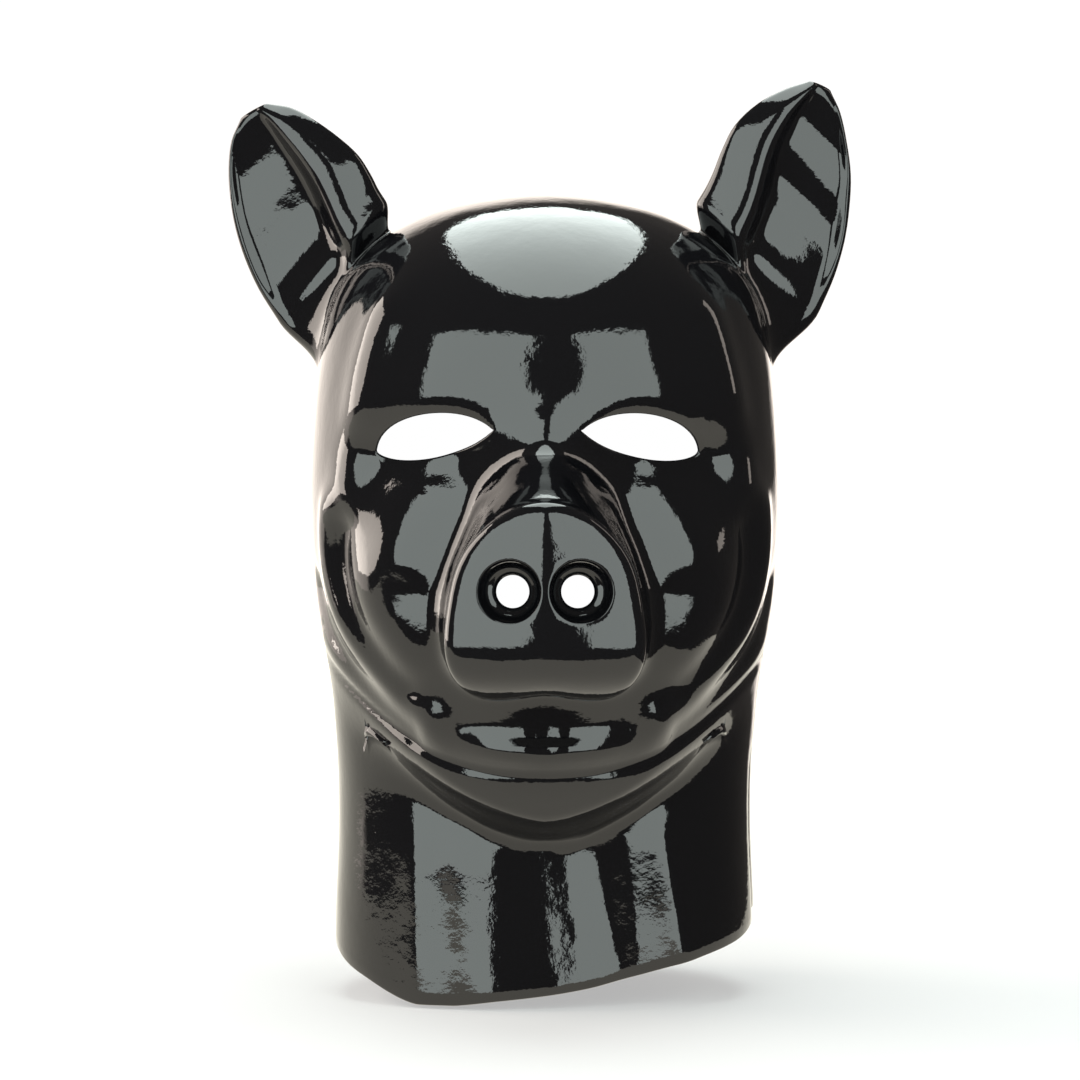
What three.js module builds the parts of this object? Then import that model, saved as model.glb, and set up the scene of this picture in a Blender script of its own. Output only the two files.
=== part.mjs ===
// A moulded latex pig hood, pulled over the whole head: one continuous skin with cut-out eyes, a hollow
// snout with two breathing nostrils, hollow ears and a neck that ends in a hand-cut rim.
// Millimetres, +Z up, the face looks along -Y and the wearer's left ear is at +X. The skin is worked out
// with heights above the lowest point of the rim, and is then moved so that the origin is the point
// inside the crown where the wearer's head carries the hood.
import * as THREE from "three";

// The wall, and the overall sizes of the head and neck outside
const WALL = 1.5;
const CROWN_HEIGHT = 293;
const HEAD_WIDTH = 174;
const HEAD_FRONT = 97;
const HEAD_BACK = 99;
const NECK_WIDTH = 156;
const NECK_FRONT = 62;
const NECK_BACK = 76;
const RIM_RISE = 30;

// The line where the jaw turns in to the neck and the line of the closed mouth: the height of each in the
// middle, how much higher it is at the sides, and the power of the sine that lifts it there
const JAW_HEIGHT = 64;
const JAW_RISE = 56;
const JAW_POWER = 1.9;
const JAW_TURN = 6;
const MOUTH_HEIGHT = 87;
const MOUTH_RISE = 38;
const MOUTH_POWER = 2.4;

// The lip over the mouth line and the groove along it, which both die away at the sides between two bearings
const LIP_OUT = 3.5;
const LIP_WIDTH = 5;
const LIP_ABOVE = 8;
const MOUTH_DEPTH = 1.3;
const MOUTH_WIDTH = 2.4;
const LIP_THINNING = 0.75;
const LIP_THIN_START = 8;
const LIP_THIN_END = 24;
const MOUTH_FADE_START = 62;
const MOUTH_FADE_END = 85;

// Eye openings, measured from the middle of the face
const EYE_LEVEL = 207.5;
const EYE_INNER = 15.2;
const EYE_SHIFT = -2.8;
const EYE_WIDTH = 43.5;
const EYE_HEIGHT = 19.5;

// Snout: its disc, how far it stands in front of the face, and the size of its foot. The disc has a crease
// down its middle, sharp above and blunt below, from which it falls away to both sides at a slope.
const SNOUT_LEVEL = 153;
const SNOUT_RADIUS = 36;
const SNOUT_REACH = 152;
const SNOUT_DOME = 8;
const SNOUT_CURL = 20;
const SNOUT_TILT = 4;
const SNOUT_FLARE = 8;
const SNOUT_PULL = 0.24;
const SNOUT_HOLD = 0.45;
const FLARE_THINNING = 0.5;
const BRIDGE_FLARE = 17;
const CREASE_SLOPE = 0.11;
const CREASE_SHARP = 1.2;
const CREASE_BLUNT = 7;
const NOSTRIL_SPREAD = 12.6;
const NOSTRIL_LIFT = 4.5;
const NOSTRIL_RADIUS = 11.6;
const NOSTRIL_DEPTH = 11;
const NOSTRIL_LEAN = 1.2;

// Ears: the foot is the oval where the ear grows out of the head, at a bearing in degrees and a rise
const EAR_WIDTH = 56;
const LEFT_EAR_LENGTH = 82;
const RIGHT_EAR_LENGTH = 76.5;
const LEFT_EAR_SPLAY = 23.2;
const RIGHT_EAR_SPLAY = 29.5;
const EAR_FOOT_TURN = 90;
const EAR_FOOT_RISE = 0.745;
const EAR_FOOT_HALF = 33;
const EAR_FOOT_DEPTH = 17;
const EAR_SINK = 8.5;
const EAR_FACING = 10;
const EAR_PULL = 0.35;
const EAR_ROLL = 0.25;
const EAR_TIP_RISE = 0.015;
const EARS = [
  { name: "left", side: 1, length: LEFT_EAR_LENGTH, splay: LEFT_EAR_SPLAY },
  { name: "right", side: -1, length: RIGHT_EAR_LENGTH, splay: RIGHT_EAR_SPLAY },
];

// Cross-sections of the head from the rim up to the crown. rise is the share of the way up the side;
// height is a share of CROWN_HEIGHT, width of half HEAD_WIDTH, front of HEAD_FRONT, back of HEAD_BACK,
// and square says how boxy the section is, 2 being an ellipse. The last row lies beyond the crown, and only
// keeps the skin level there.
const HEAD_SECTIONS = [
  { rise: 0.0, height: 0.0, width: 0.9, front: 0.84, back: 0.74, square: 2.3 },
  { rise: 0.17, height: 0.202, width: 0.885, front: 0.82, back: 0.75, square: 2 },
  { rise: 0.24, height: 0.285, width: 0.89, front: 0.935, back: 0.77, square: 1.85 },
  { rise: 0.32, height: 0.379, width: 0.922, front: 0.985, back: 0.81, square: 1.9 },
  { rise: 0.42, height: 0.498, width: 0.972, front: 0.99, back: 0.885, square: 2.45 },
  { rise: 0.52, height: 0.616, width: 0.997, front: 0.96, back: 0.96, square: 2.6 },
  { rise: 0.6, height: 0.711, width: 0.985, front: 0.965, back: 0.995, square: 2.5 },
  { rise: 0.677, height: 0.8, width: 0.953, front: 0.95, back: 0.975, square: 2.4 },
  { rise: 0.751, height: 0.882, width: 0.877, front: 0.85, back: 0.885, square: 2.25 },
  { rise: 0.82, height: 0.942, width: 0.71, front: 0.66, back: 0.71, square: 2.1 },
  { rise: 0.898, height: 0.983, width: 0.42, front: 0.38, back: 0.42, square: 2.0 },
  { rise: 1.0, height: 1.0, width: 0.0, front: 0.0, back: 0.0, square: 2.0 },
  { rise: 1.102, height: 0.983, width: -0.42, front: -0.38, back: -0.42, square: 2.0 },
];

// Cross-sections of the neck, which runs up inside the jaw. width is a share of half NECK_WIDTH,
// front of NECK_FRONT and back of NECK_BACK.
const NECK_SECTIONS = [
  { rise: 0.0, width: 1.0, front: 1.0, back: 1.0, square: 2.5 },
  { rise: 0.08, width: 0.995, front: 0.965, back: 0.985, square: 2.5 },
  { rise: 0.17, width: 0.98, front: 0.95, back: 0.97, square: 2.45 },
  { rise: 0.24, width: 0.985, front: 0.94, back: 0.985, square: 2.4 },
  { rise: 0.34, width: 1.02, front: 1.0, back: 1.06, square: 2.4 },
  { rise: 0.45, width: 1.08, front: 1.2, back: 1.19, square: 2.5 },
];

// The hand-cut rim: bearing in degrees from the front towards the wearer's left, and lift as a share of
// RIM_RISE
const RIM_CUT = [
  { bearing: -180, lift: 0.6 },
  { bearing: -135, lift: 0.8 },
  { bearing: -90, lift: 0.66 },
  { bearing: -60, lift: 0.3 },
  { bearing: -40, lift: 0.0 },
  { bearing: -15, lift: 0.07 },
  { bearing: 15, lift: 0.22 },
  { bearing: 40, lift: 0.46 },
  { bearing: 65, lift: 0.7 },
  { bearing: 90, lift: 0.96 },
  { bearing: 135, lift: 0.85 },
  { bearing: 180, lift: 0.6 },
];

// Folds of the face and neck, as they come out of the mould. Each runs from one place by another to a third,
// and a place is a bearing in degrees and a height as a share of CROWN_HEIGHT. It stands out (+) or sinks in
// (-) by deep, over wide, both in FOLD_SIZEs. side is 0 on both sides, 1 on the wearer's left, -1 on the
// right. The folds die away towards the middle of the crown, between two radii.
const FOLD_SIZE = 10;
const FOLD_END_RADIUS = 5;
const FOLD_FULL_RADIUS = 40;
const FOLDS = [
  { name: "nose_bridge", side: 0, from: [0, 0.71], via: [0, 0.68], to: [0, 0.62], deep: 0.65, wide: 1.25 },
  { name: "brow", side: 0, from: [9, 0.757], via: [26, 0.79], to: [42, 0.732], deep: 0.07, wide: 0.9 },
  { name: "socket", side: 0, from: [22, 0.686], via: [30, 0.684], to: [40, 0.68], deep: -0.75, wide: 1.25 },
  { name: "temple", side: 0, from: [42, 0.86], via: [43, 0.76], to: [47, 0.655], deep: 0.36, wide: 1 },
  { name: "cheek_pad", side: 0, from: [34, 0.56], via: [42, 0.52], to: [32, 0.445], deep: 0.36, wide: 1.2 },
  { name: "cheek_groove", side: 0, from: [50, 0.59], via: [54, 0.5], to: [33, 0.4], deep: -0.28, wide: 0.6 },
  { name: "jowl", side: 0, from: [55, 0.61], via: [62, 0.482], to: [27, 0.362], deep: 0.36, wide: 0.8 },
  { name: "jowl_dip", side: 0, from: [72, 0.512], via: [60, 0.412], to: [34, 0.347], deep: -0.22, wide: 0.6 },
  { name: "philtrum", side: 0, from: [0, 0.397], via: [0, 0.372], to: [0, 0.332], deep: -0.12, wide: 0.5 },
  { name: "neck_corner", side: -1, from: [38, 0], via: [40, 0.09], to: [42, 0.19], deep: 0.1, wide: 0.9 },
  { name: "neck_ridge", side: -1, from: [20, 0], via: [24, 0.09], to: [28, 0.18], deep: 0.2, wide: 1.18 },
  { name: "throat_side", side: -1, from: [9, 0], via: [13, 0.09], to: [17, 0.18], deep: 0.14, wide: 1.18 },
  { name: "throat", side: -1, from: [-2, 0], via: [2, 0.09], to: [6, 0.18], deep: 0.1, wide: 1.18 },
  { name: "neck_furrow", side: 1, from: [26, 0], via: [22, 0.1], to: [18, 0.19], deep: -0.16, wide: 1.1 },
  { name: "neck_cord", side: 1, from: [46, 0.02], via: [41, 0.12], to: [38, 0.2], deep: 0.12, wide: 0.8 },
  { name: "neck_back_fold", side: 1, from: [84, 0], via: [84, 0.12], to: [84, 0.28], deep: -0.2, wide: 0.7 },
];

// The lids of the eye opening, from its inner corner: across is a share of EYE_WIDTH, up of EYE_HEIGHT
const UPPER_LID = [
  { across: 0.0, up: 0.16 },
  { across: 0.2, up: 0.7 },
  { across: 0.94, up: 0.6 },
  { across: 1.0, up: -0.26 },
];
const LOWER_LID = [
  { across: 1.0, up: -0.26 },
  { across: 1.03, up: -0.58 },
  { across: 0.3, up: -0.58 },
  { across: 0.0, up: 0.16 },
];

// Rings down a nostril, as shares of NOSTRIL_RADIUS and NOSTRIL_DEPTH
const NOSTRIL_RINGS = [
  { radius: 0.955, depth: 0.03 },
  { radius: 0.89, depth: 0.2 },
  { radius: 0.8, depth: 0.62 },
  { radius: 0.56, depth: 0.8 },
  { radius: 0.5, depth: 1.0 },
];

// Cross-sections of an ear. along is a share of its length, and slant a share of it too. left and right say,
// for each ear, how far its outer and then its inner edge stand from its middle line, and thick is half its
// thickness, all as shares of EAR_WIDTH. press is how far its front is pressed flat, from 0 to 1.
const EAR_SECTIONS = [
  { along: 0.2, slant: 0.12, left: [0.6, 0.45], right: [0.57, 0.46], thick: 0.21, press: 0.4 },
  { along: 0.32, slant: 0.07, left: [0.6, 0.435], right: [0.58, 0.455], thick: 0.19, press: 0.8 },
  { along: 0.44, slant: 0.03, left: [0.57, 0.43], right: [0.56, 0.46], thick: 0.17, press: 0.95 },
  { along: 0.57, slant: 0.01, left: [0.51, 0.435], right: [0.515, 0.45], thick: 0.145, press: 1 },
  { along: 0.7, slant: 0, left: [0.43, 0.42], right: [0.445, 0.395], thick: 0.12, press: 1 },
  { along: 0.83, slant: 0, left: [0.315, 0.335], right: [0.355, 0.31], thick: 0.1, press: 0.9 },
  { along: 0.94, slant: 0, left: [0.195, 0.2], right: [0.245, 0.21], thick: 0.07, press: 0.6 },
  { along: 1.003, slant: 0, left: [0.09, 0.09], right: [0.13, 0.1], thick: 0.035, press: 0 },
];

// How the skin is divided into cells. The columns run round the head from the middle of the face, in spans
// of degrees at the front, the sides and the back. The rows run up from the rim to the square cap that closes
// the crown. The jaw and mouth lines are held on a row each, as far as a column on both sides.
const NET = {
  frontColumns: 11,
  sideColumns: 8,
  rows: 32,
  jaw: { row: 5, reach: 12 },
  mouth: { row: 8, reach: 8 },
  snoutWallRings: 5,
  snoutRollRings: 2,
  earRootRings: 3,
  relaxSteps: 1500,
};
const HALF_COLUMNS = 2 * NET.frontColumns + NET.sideColumns;
const SIDE_END = NET.frontColumns + NET.sideColumns;
const FRONT_SPAN = 48;
const SIDE_SPAN = 110;
const CAP_RISE = 0.9;
const SNOUT_ROLL_END = 40;
const EYE_BLOCK = { from: 2, to: 7, low: 22, high: 24 };
const EAR_BLOCK = { from: 14, to: 16, low: 22, high: 30 };
const SNOUT_BLOCK = { from: -6, to: 6, low: 11, high: 21 };
const NOSTRIL_BLOCK = { from: 1, to: 5, low: 15, high: 19 };

// How much rise a share of the height is at the ears, how far towards the middle of a root its direction is
// taken, and a length too small to see
const RISE_PER_HEIGHT = 0.84;
const INWARD_STEP = 0.04;
const TINY = 1e-3;

const radians = THREE.MathUtils.degToRad;
const clamp = THREE.MathUtils.clamp;
const smoothstep = THREE.MathUtils.smoothstep;
const lerp = THREE.MathUtils.lerp;
const halfTurn = Math.PI;

// A smooth curve through one column of a table, at the given value of its key column
function columnAt(table, key, column, at) {
  const last = table.length - 1;
  let k = 0;
  while (k < last - 1 && at > table[k + 1][key]) k++;
  const slope = (m) => {
    const a = table[Math.max(m - 1, 0)];
    const b = table[Math.min(m + 1, last)];
    return (b[column] - a[column]) / (b[key] - a[key]);
  };
  const step = table[k + 1][key] - table[k][key];
  const t = clamp((at - table[k][key]) / step, 0, 1);
  const start = table[k][column];
  const end = table[k + 1][column];
  const bend = (1 - t) * slope(k) * step - t * slope(k + 1) * step;
  return lerp(start, end, t) + t * (1 - t) * (bend + (2 * t - 1) * (end - start));
}

// The rise at which the head reaches a height
function riseAt(height) {
  let low = 0;
  let high = 1;
  for (let k = 0; k < 30; k++) {
    const middle = (low + high) / 2;
    if (columnAt(HEAD_SECTIONS, "rise", "height", middle) * CROWN_HEIGHT < height) low = middle;
    else high = middle;
  }
  return (low + high) / 2;
}

// The heights of the jaw line, the mouth line and the cut rim, at a bearing in degrees. The first two are
// level behind the ears.
function lifted(bearing, base, rise, power) {
  return base + rise * Math.sin(radians(Math.min(Math.abs(bearing), 90))) ** power;
}

function jawHeight(bearing) {
  return lifted(bearing, JAW_HEIGHT, JAW_RISE, JAW_POWER);
}

function mouthHeight(bearing) {
  return lifted(bearing, MOUTH_HEIGHT, MOUTH_RISE, MOUTH_POWER);
}

function rimHeight(bearing) {
  return RIM_RISE * columnAt(RIM_CUT, "bearing", "lift", bearing);
}

// The distance on the unrolled skin from (x, y) to the curve through a fold's three places, in millimetres
function distanceToFold({ from, via, to }, x, y, scale) {
  const steps = 12;
  const place = (t) => {
    const at = (k) => (1 - t) ** 2 * from[k] + 2 * t * (1 - t) * via[k] + t * t * to[k];
    return [at(0) * scale, at(1) * CROWN_HEIGHT];
  };
  let best = Infinity;
  let [ax, ay] = place(0);
  for (let k = 1; k <= steps; k++) {
    const [bx, by] = place(k / steps);
    const ahead = (x - ax) * (bx - ax) + (y - ay) * (by - ay);
    const along = clamp(ahead / ((bx - ax) ** 2 + (by - ay) ** 2), 0, 1);
    best = Math.min(best, Math.hypot(x - lerp(ax, bx, along), y - lerp(ay, by, along)));
    [ax, ay] = [bx, by];
  }
  return best;
}

// A rounded hump or groove: its height at a distance from its middle
function hump(height, distance, width) {
  return height * Math.exp(-((distance / width) ** 2));
}

// How far the folds, the lip and the mouth line move the skin outwards at a bearing in degrees and a height
function relief(bearing, height) {
  const scale = radians(HEAD_WIDTH / 2);
  let out = 0;
  for (const fold of FOLDS) {
    const inMiddle = fold.from[0] === 0 && fold.to[0] === 0;
    for (const side of inMiddle ? [1] : fold.side ? [fold.side] : [-1, 1]) {
      const distance = distanceToFold(fold, side * bearing * scale, height, scale);
      out += hump(fold.deep * FOLD_SIZE, distance, fold.wide * FOLD_SIZE);
    }
  }
  const above = height - mouthHeight(bearing);
  const wide = 1 - smoothstep(Math.abs(bearing), MOUTH_FADE_START, MOUTH_FADE_END);
  const full = 1 - LIP_THINNING * smoothstep(Math.abs(bearing), LIP_THIN_START, LIP_THIN_END);
  const lip = full * hump(LIP_OUT, above - LIP_ABOVE, LIP_WIDTH);
  return out + wide * (lip - hump(MOUTH_DEPTH, above, MOUTH_WIDTH));
}

// A point of the outer skin, at a bearing in degrees and a rise
function skinPoint(bearing, rise) {
  const turn = radians(bearing);
  const height = CROWN_HEIGHT * columnAt(HEAD_SECTIONS, "rise", "height", rise);
  const turnUnder = lerp(JAW_TURN, 3 * JAW_TURN, Math.abs(Math.sin(turn)));
  const jaw = smoothstep(height - jawHeight(bearing), -turnUnder, turnUnder);
  const read = (column, head, neck) => {
    const above = head * columnAt(HEAD_SECTIONS, "rise", column, rise);
    const below = neck * columnAt(NECK_SECTIONS, "rise", column, rise);
    return Math.max(lerp(below, above, jaw), TINY);
  };
  const half = read("width", HEAD_WIDTH / 2, NECK_WIDTH / 2);
  const front = read("front", HEAD_FRONT, NECK_FRONT);
  const back = read("back", HEAD_BACK, NECK_BACK);
  const square = read("square", 1, 1);
  const depth = lerp(back, front, smoothstep(Math.cos(turn), -1, 1));
  const curve = Math.abs(Math.sin(turn) / half) ** square + Math.abs(Math.cos(turn) / depth) ** square;
  const radius = curve ** (-1 / square);
  const out = radius + relief(bearing, height) * smoothstep(radius, FOLD_END_RADIUS, FOLD_FULL_RADIUS);
  return new THREE.Vector3(out * Math.sin(turn), -out * Math.cos(turn), height);
}

// The bearing and rise of the skin point seen at (x, height) from the front
function facePlace(x, height) {
  const rise = riseAt(height);
  let low = 0;
  let high = 90;
  for (let k = 0; k < 25; k++) {
    const middle = (low + high) / 2;
    if (skinPoint(middle, rise).x < Math.abs(x)) low = middle;
    else high = middle;
  }
  return [Math.sign(x) * low, rise];
}

// A point on a cubic curve through four control points
function cubic(points, t) {
  const s = 1 - t;
  return new THREE.Vector3()
    .addScaledVector(points[0], s * s * s)
    .addScaledVector(points[1], 3 * s * s * t)
    .addScaledVector(points[2], 3 * s * t * t)
    .addScaledVector(points[3], t * t * t);
}

// The skin as a growing list of points and four-sided cells
const points = [];
const cells = [];

function addPoint(point) {
  points.push(point);
  return points.length - 1;
}

function addCell(a, b, c, d, flip) {
  cells.push(flip ? [d, c, b, a] : [a, b, c, d]);
}

// The cells between two rings that have as many points each
function addBand(ring, next, flip) {
  ring.forEach((_, k) => {
    const after = (k + 1) % ring.length;
    addCell(ring[k], ring[after], next[after], next[k], flip);
  });
}

// The border of a block of cells as [column, row] pairs, from the middle of its first side upwards
function blockLoop({ from, to, low, high }) {
  const middle = Math.round((low + high) / 2);
  const step = Math.sign(to - from);
  const loop = [];
  for (let row = middle; row < high; row++) loop.push([from, row]);
  for (let column = from; column !== to; column += step) loop.push([column, high]);
  for (let row = high; row > low; row--) loop.push([to, row]);
  for (let column = to; column !== from; column -= step) loop.push([column, low]);
  for (let row = low; row < middle; row++) loop.push([from, row]);
  return loop;
}

function mirrored({ from, to, low, high }) {
  return { from: -from, to: -to, low, high };
}

function inBlock({ from, to, low, high }, column, row) {
  return column >= Math.min(from, to) && column < Math.max(from, to) && row >= low && row < high;
}

const keyOf = (column, row) => column + "," + row;
const placeOf = (key) => key.split(",").map(Number);

// The four corners of the cell at a column and row
function around(column, row) {
  return [[column, row], [column + 1, row], [column + 1, row + 1], [column, row + 1]];
}

// A column's number after the turn where the back columns meet
function wrap(column) {
  if (column >= HALF_COLUMNS) return column - 2 * HALF_COLUMNS;
  return column < -HALF_COLUMNS ? column + 2 * HALF_COLUMNS : column;
}

// Evens out a net of [a, b] places by moving each free one to the middle of its four neighbours, where a
// may be a bearing that jumps by 360 degrees at the back
function relax(places, free) {
  const sidesOf = new Map();
  for (const key of free) {
    const [column, row] = placeOf(key);
    const sides = [keyOf(wrap(column - 1), row), keyOf(wrap(column + 1), row)];
    sidesOf.set(key, [...sides, keyOf(column, row - 1), keyOf(column, row + 1)]);
  }
  for (let step = 0; step < NET.relaxSteps; step++) {
    for (const key of free) {
      const own = places.get(key)[0];
      let [a, b] = [0, 0];
      for (const other of sidesOf.get(key)) {
        const place = places.get(other);
        a += place[0] + 360 * Math.round((own - place[0]) / 360);
        b += place[1];
      }
      places.set(key, [a / 4, b / 4]);
    }
  }
}

// The bearing of a column where it leaves the rim
function columnBearing(column) {
  const from = Math.abs(column);
  let turned = lerp(SIDE_SPAN, 180, (from - SIDE_END) / NET.frontColumns);
  if (from <= NET.frontColumns) turned = (from / NET.frontColumns) * FRONT_SPAN;
  else if (from <= SIDE_END) {
    turned = lerp(FRONT_SPAN, SIDE_SPAN, (from - NET.frontColumns) / NET.sideColumns);
  }
  return Math.sign(column) * turned;
}

// The place of a point of the square cap, across and forward each from -1 to 1
function capPlace(across, forward) {
  const x = across * Math.sqrt(1 - forward ** 2 / 2);
  const y = forward * Math.sqrt(1 - across ** 2 / 2);
  return [THREE.MathUtils.radToDeg(Math.atan2(x, y)), 1 - Math.hypot(x, y) * (1 - CAP_RISE)];
}

// The across and forward of the cap's border point that a column ends at
function capBorder(column) {
  const from = Math.abs(column);
  const sign = Math.sign(column) || 1;
  if (from <= NET.frontColumns) return [(sign * from) / NET.frontColumns, 1];
  if (from <= SIDE_END) return [sign, 1 - (2 * (from - NET.frontColumns)) / NET.sideColumns];
  return [sign * (1 - (from - SIDE_END) / NET.frontColumns), -1];
}

// A point on the outline of the eye opening, as [x, height], t running from the inner corner over the
// upper lid and back under the lower one
function eyeOutline(t) {
  const lid = t < 0.5 ? UPPER_LID : LOWER_LID;
  const at = cubic(lid.map(({ across, up }) => new THREE.Vector3(across, 0, up)), (t * 2) % 1);
  return [EYE_INNER + at.x * EYE_WIDTH, EYE_LEVEL + at.z * EYE_HEIGHT];
}

// The snout's own directions: forwards out of its disc, and up along it
const snoutOut = new THREE.Vector3(0, -Math.cos(radians(SNOUT_TILT)), Math.sin(radians(SNOUT_TILT)));
const snoutUp = new THREE.Vector3(0, Math.sin(radians(SNOUT_TILT)), Math.cos(radians(SNOUT_TILT)));
const snoutCentre = new THREE.Vector3(0, -SNOUT_REACH, SNOUT_LEVEL);

// The radius of the snout's disc at an angle from its top: like an egg with its blunt end down, with two
// rounded corners there
function discRadius(angle) {
  const egg = 0.2 * Math.cos(angle) * Math.sin(angle) ** 2;
  const corners = 0.05 * (1 - Math.cos(angle)) * Math.cos(4 * angle);
  return SNOUT_RADIUS * (1 - egg - corners);
}

// A point of the snout's domed disc at x and up from its centre. Its lower edge curls under.
function discPoint(x, up) {
  const share = Math.min(Math.hypot(x, up) / discRadius(Math.atan2(x, up)), 1);
  const dome = SNOUT_DOME * (1 - (1 - share ** 4) ** (1 / 4));
  const down = -up / SNOUT_RADIUS;
  const curl = SNOUT_CURL * Math.max(down, 0) ** 5;
  const blunt = CREASE_SHARP + CREASE_BLUNT * smoothstep(down, -0.5, 0.6);
  const crease = CREASE_SLOPE * (Math.hypot(x, blunt) - blunt);
  return snoutCentre
    .clone()
    .add(new THREE.Vector3(x, 0, 0))
    .addScaledVector(snoutUp, up)
    .addScaledVector(snoutOut, -dome - curl - crease);
}

// The angle of each place on a loop, starting from the middle of its first side
function loopAngles(loop, start) {
  return loop.map((_, k) => start + (k / loop.length) * 2 * halfTurn);
}

const HOLES = [EYE_BLOCK, mirrored(EYE_BLOCK), EAR_BLOCK, mirrored(EAR_BLOCK), SNOUT_BLOCK];

// Whether a place lies within a block, away from its border
function within({ from, to, low, high }, key) {
  const [column, row] = placeOf(key);
  return column > Math.min(from, to) && column < Math.max(from, to) && row > low && row < high;
}

// The head and neck: places on the skin for every column and row, held at the rim, the crown, the jaw
// and mouth lines and round every opening and root, and evened out in between
function headPlaces() {
  const places = new Map();
  const held = new Set();
  const hold = (column, row, place) => {
    places.set(keyOf(column, row), place);
    held.add(keyOf(column, row));
  };
  for (let column = -HALF_COLUMNS; column < HALF_COLUMNS; column++) {
    const bearing = columnBearing(column);
    const rim = riseAt(rimHeight(bearing));
    for (let row = 1; row < NET.rows; row++) {
      places.set(keyOf(column, row), [bearing, lerp(rim, CAP_RISE, row / NET.rows)]);
    }
    hold(column, 0, [bearing, rim]);
    hold(column, NET.rows, capPlace(...capBorder(column)));
    for (const [line, heightAt] of [[NET.jaw, jawHeight], [NET.mouth, mouthHeight]]) {
      if (Math.abs(column) <= line.reach) hold(column, line.row, [bearing, riseAt(heightAt(bearing))]);
    }
  }
  for (const side of [-1, 1]) {
    blockLoop(side > 0 ? EYE_BLOCK : mirrored(EYE_BLOCK)).forEach(([column, row], k, loop) => {
      const [x, height] = eyeOutline(k / loop.length);
      hold(column, row, facePlace(side * x + EYE_SHIFT, height));
    });
    const foot = blockLoop(side > 0 ? EAR_BLOCK : mirrored(EAR_BLOCK));
    loopAngles(foot, 0).forEach((angle, k) => {
      const forward = THREE.MathUtils.radToDeg(EAR_FOOT_DEPTH / (HEAD_WIDTH / 2)) * Math.cos(angle);
      const up = (RISE_PER_HEIGHT * EAR_FOOT_HALF * Math.sin(angle)) / CROWN_HEIGHT;
      hold(...foot[k], [side * (EAR_FOOT_TURN - forward), EAR_FOOT_RISE + up]);
    });
  }
  const foot = blockLoop(SNOUT_BLOCK);
  loopAngles(foot, -halfTurn / 2).forEach((angle, k) => {
    const above = Math.max(Math.cos(angle), 0);
    const flare = SNOUT_FLARE * (1 - FLARE_THINNING * above) + BRIDGE_FLARE * above ** 4;
    const radius = discRadius(angle) + flare;
    hold(...foot[k], facePlace(radius * Math.sin(angle) || TINY, SNOUT_LEVEL + radius * Math.cos(angle)));
  });
  const hollow = [...places.keys()].filter((key) => HOLES.some((block) => within(block, key)));
  for (const key of hollow) places.delete(key);
  relax(places, [...places.keys()].filter((key) => !held.has(key)));
  return places;
}

function addHead() {
  const places = headPlaces();
  const ids = new Map([...places].map(([key, place]) => [key, addPoint(skinPoint(...place))]));
  const corner = ([column, row]) => ids.get(keyOf(wrap(column), row));
  for (let column = -HALF_COLUMNS; column < HALF_COLUMNS; column++) {
    for (let row = 0; row < NET.rows; row++) {
      if (HOLES.some((block) => inBlock(block, column, row))) continue;
      addCell(...around(column, row).map(corner));
    }
  }
  addCrown(ids);
  return { ids, places };
}

// The square cap that closes the crown
function addCrown(ids) {
  const { frontColumns, sideColumns } = NET;
  const grid = [];
  const border = new Map();
  for (let column = -HALF_COLUMNS; column < HALF_COLUMNS; column++) {
    const [across, forward] = capBorder(column);
    const i = Math.round((across + 1) * frontColumns);
    const j = Math.round(((forward + 1) * sideColumns) / 2);
    border.set(keyOf(i, j), ids.get(keyOf(column, NET.rows)));
  }
  for (let i = 0; i <= 2 * frontColumns; i++) {
    grid.push([]);
    for (let j = 0; j <= sideColumns; j++) {
      const place = capPlace(i / frontColumns - 1, (2 * j) / sideColumns - 1);
      grid[i].push(border.get(keyOf(i, j)) ?? addPoint(skinPoint(...place)));
    }
  }
  for (let i = 0; i < 2 * frontColumns; i++) {
    for (let j = 0; j < sideColumns; j++) {
      addCell(grid[i][j], grid[i][j + 1], grid[i + 1][j + 1], grid[i + 1][j], false);
    }
  }
}

// A curve from a foot on the head to a point of a root's first ring. It leaves along the skin, towards the
// middle of the root, and arrives along the given direction.
function rootCurve(foot, place, middle, end, arriving, pull, hold) {
  const near = place.map((value, k) => lerp(value, middle[k], INWARD_STEP));
  const leaving = skinPoint(...near).sub(foot).normalize();
  const span = foot.distanceTo(end);
  const control = foot.clone().addScaledVector(leaving, pull * span);
  return [foot, control, end.clone().addScaledVector(arriving, -hold * span), end];
}

// The rings along a set of root curves, of which the last is returned
function addRoot(ring, curves, count, flip) {
  let last = ring;
  for (let k = 1; k <= count; k++) {
    const next = curves.map((curve) => addPoint(cubic(curve, k / count)));
    addBand(last, next, flip);
    last = next;
  }
  return last;
}

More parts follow.
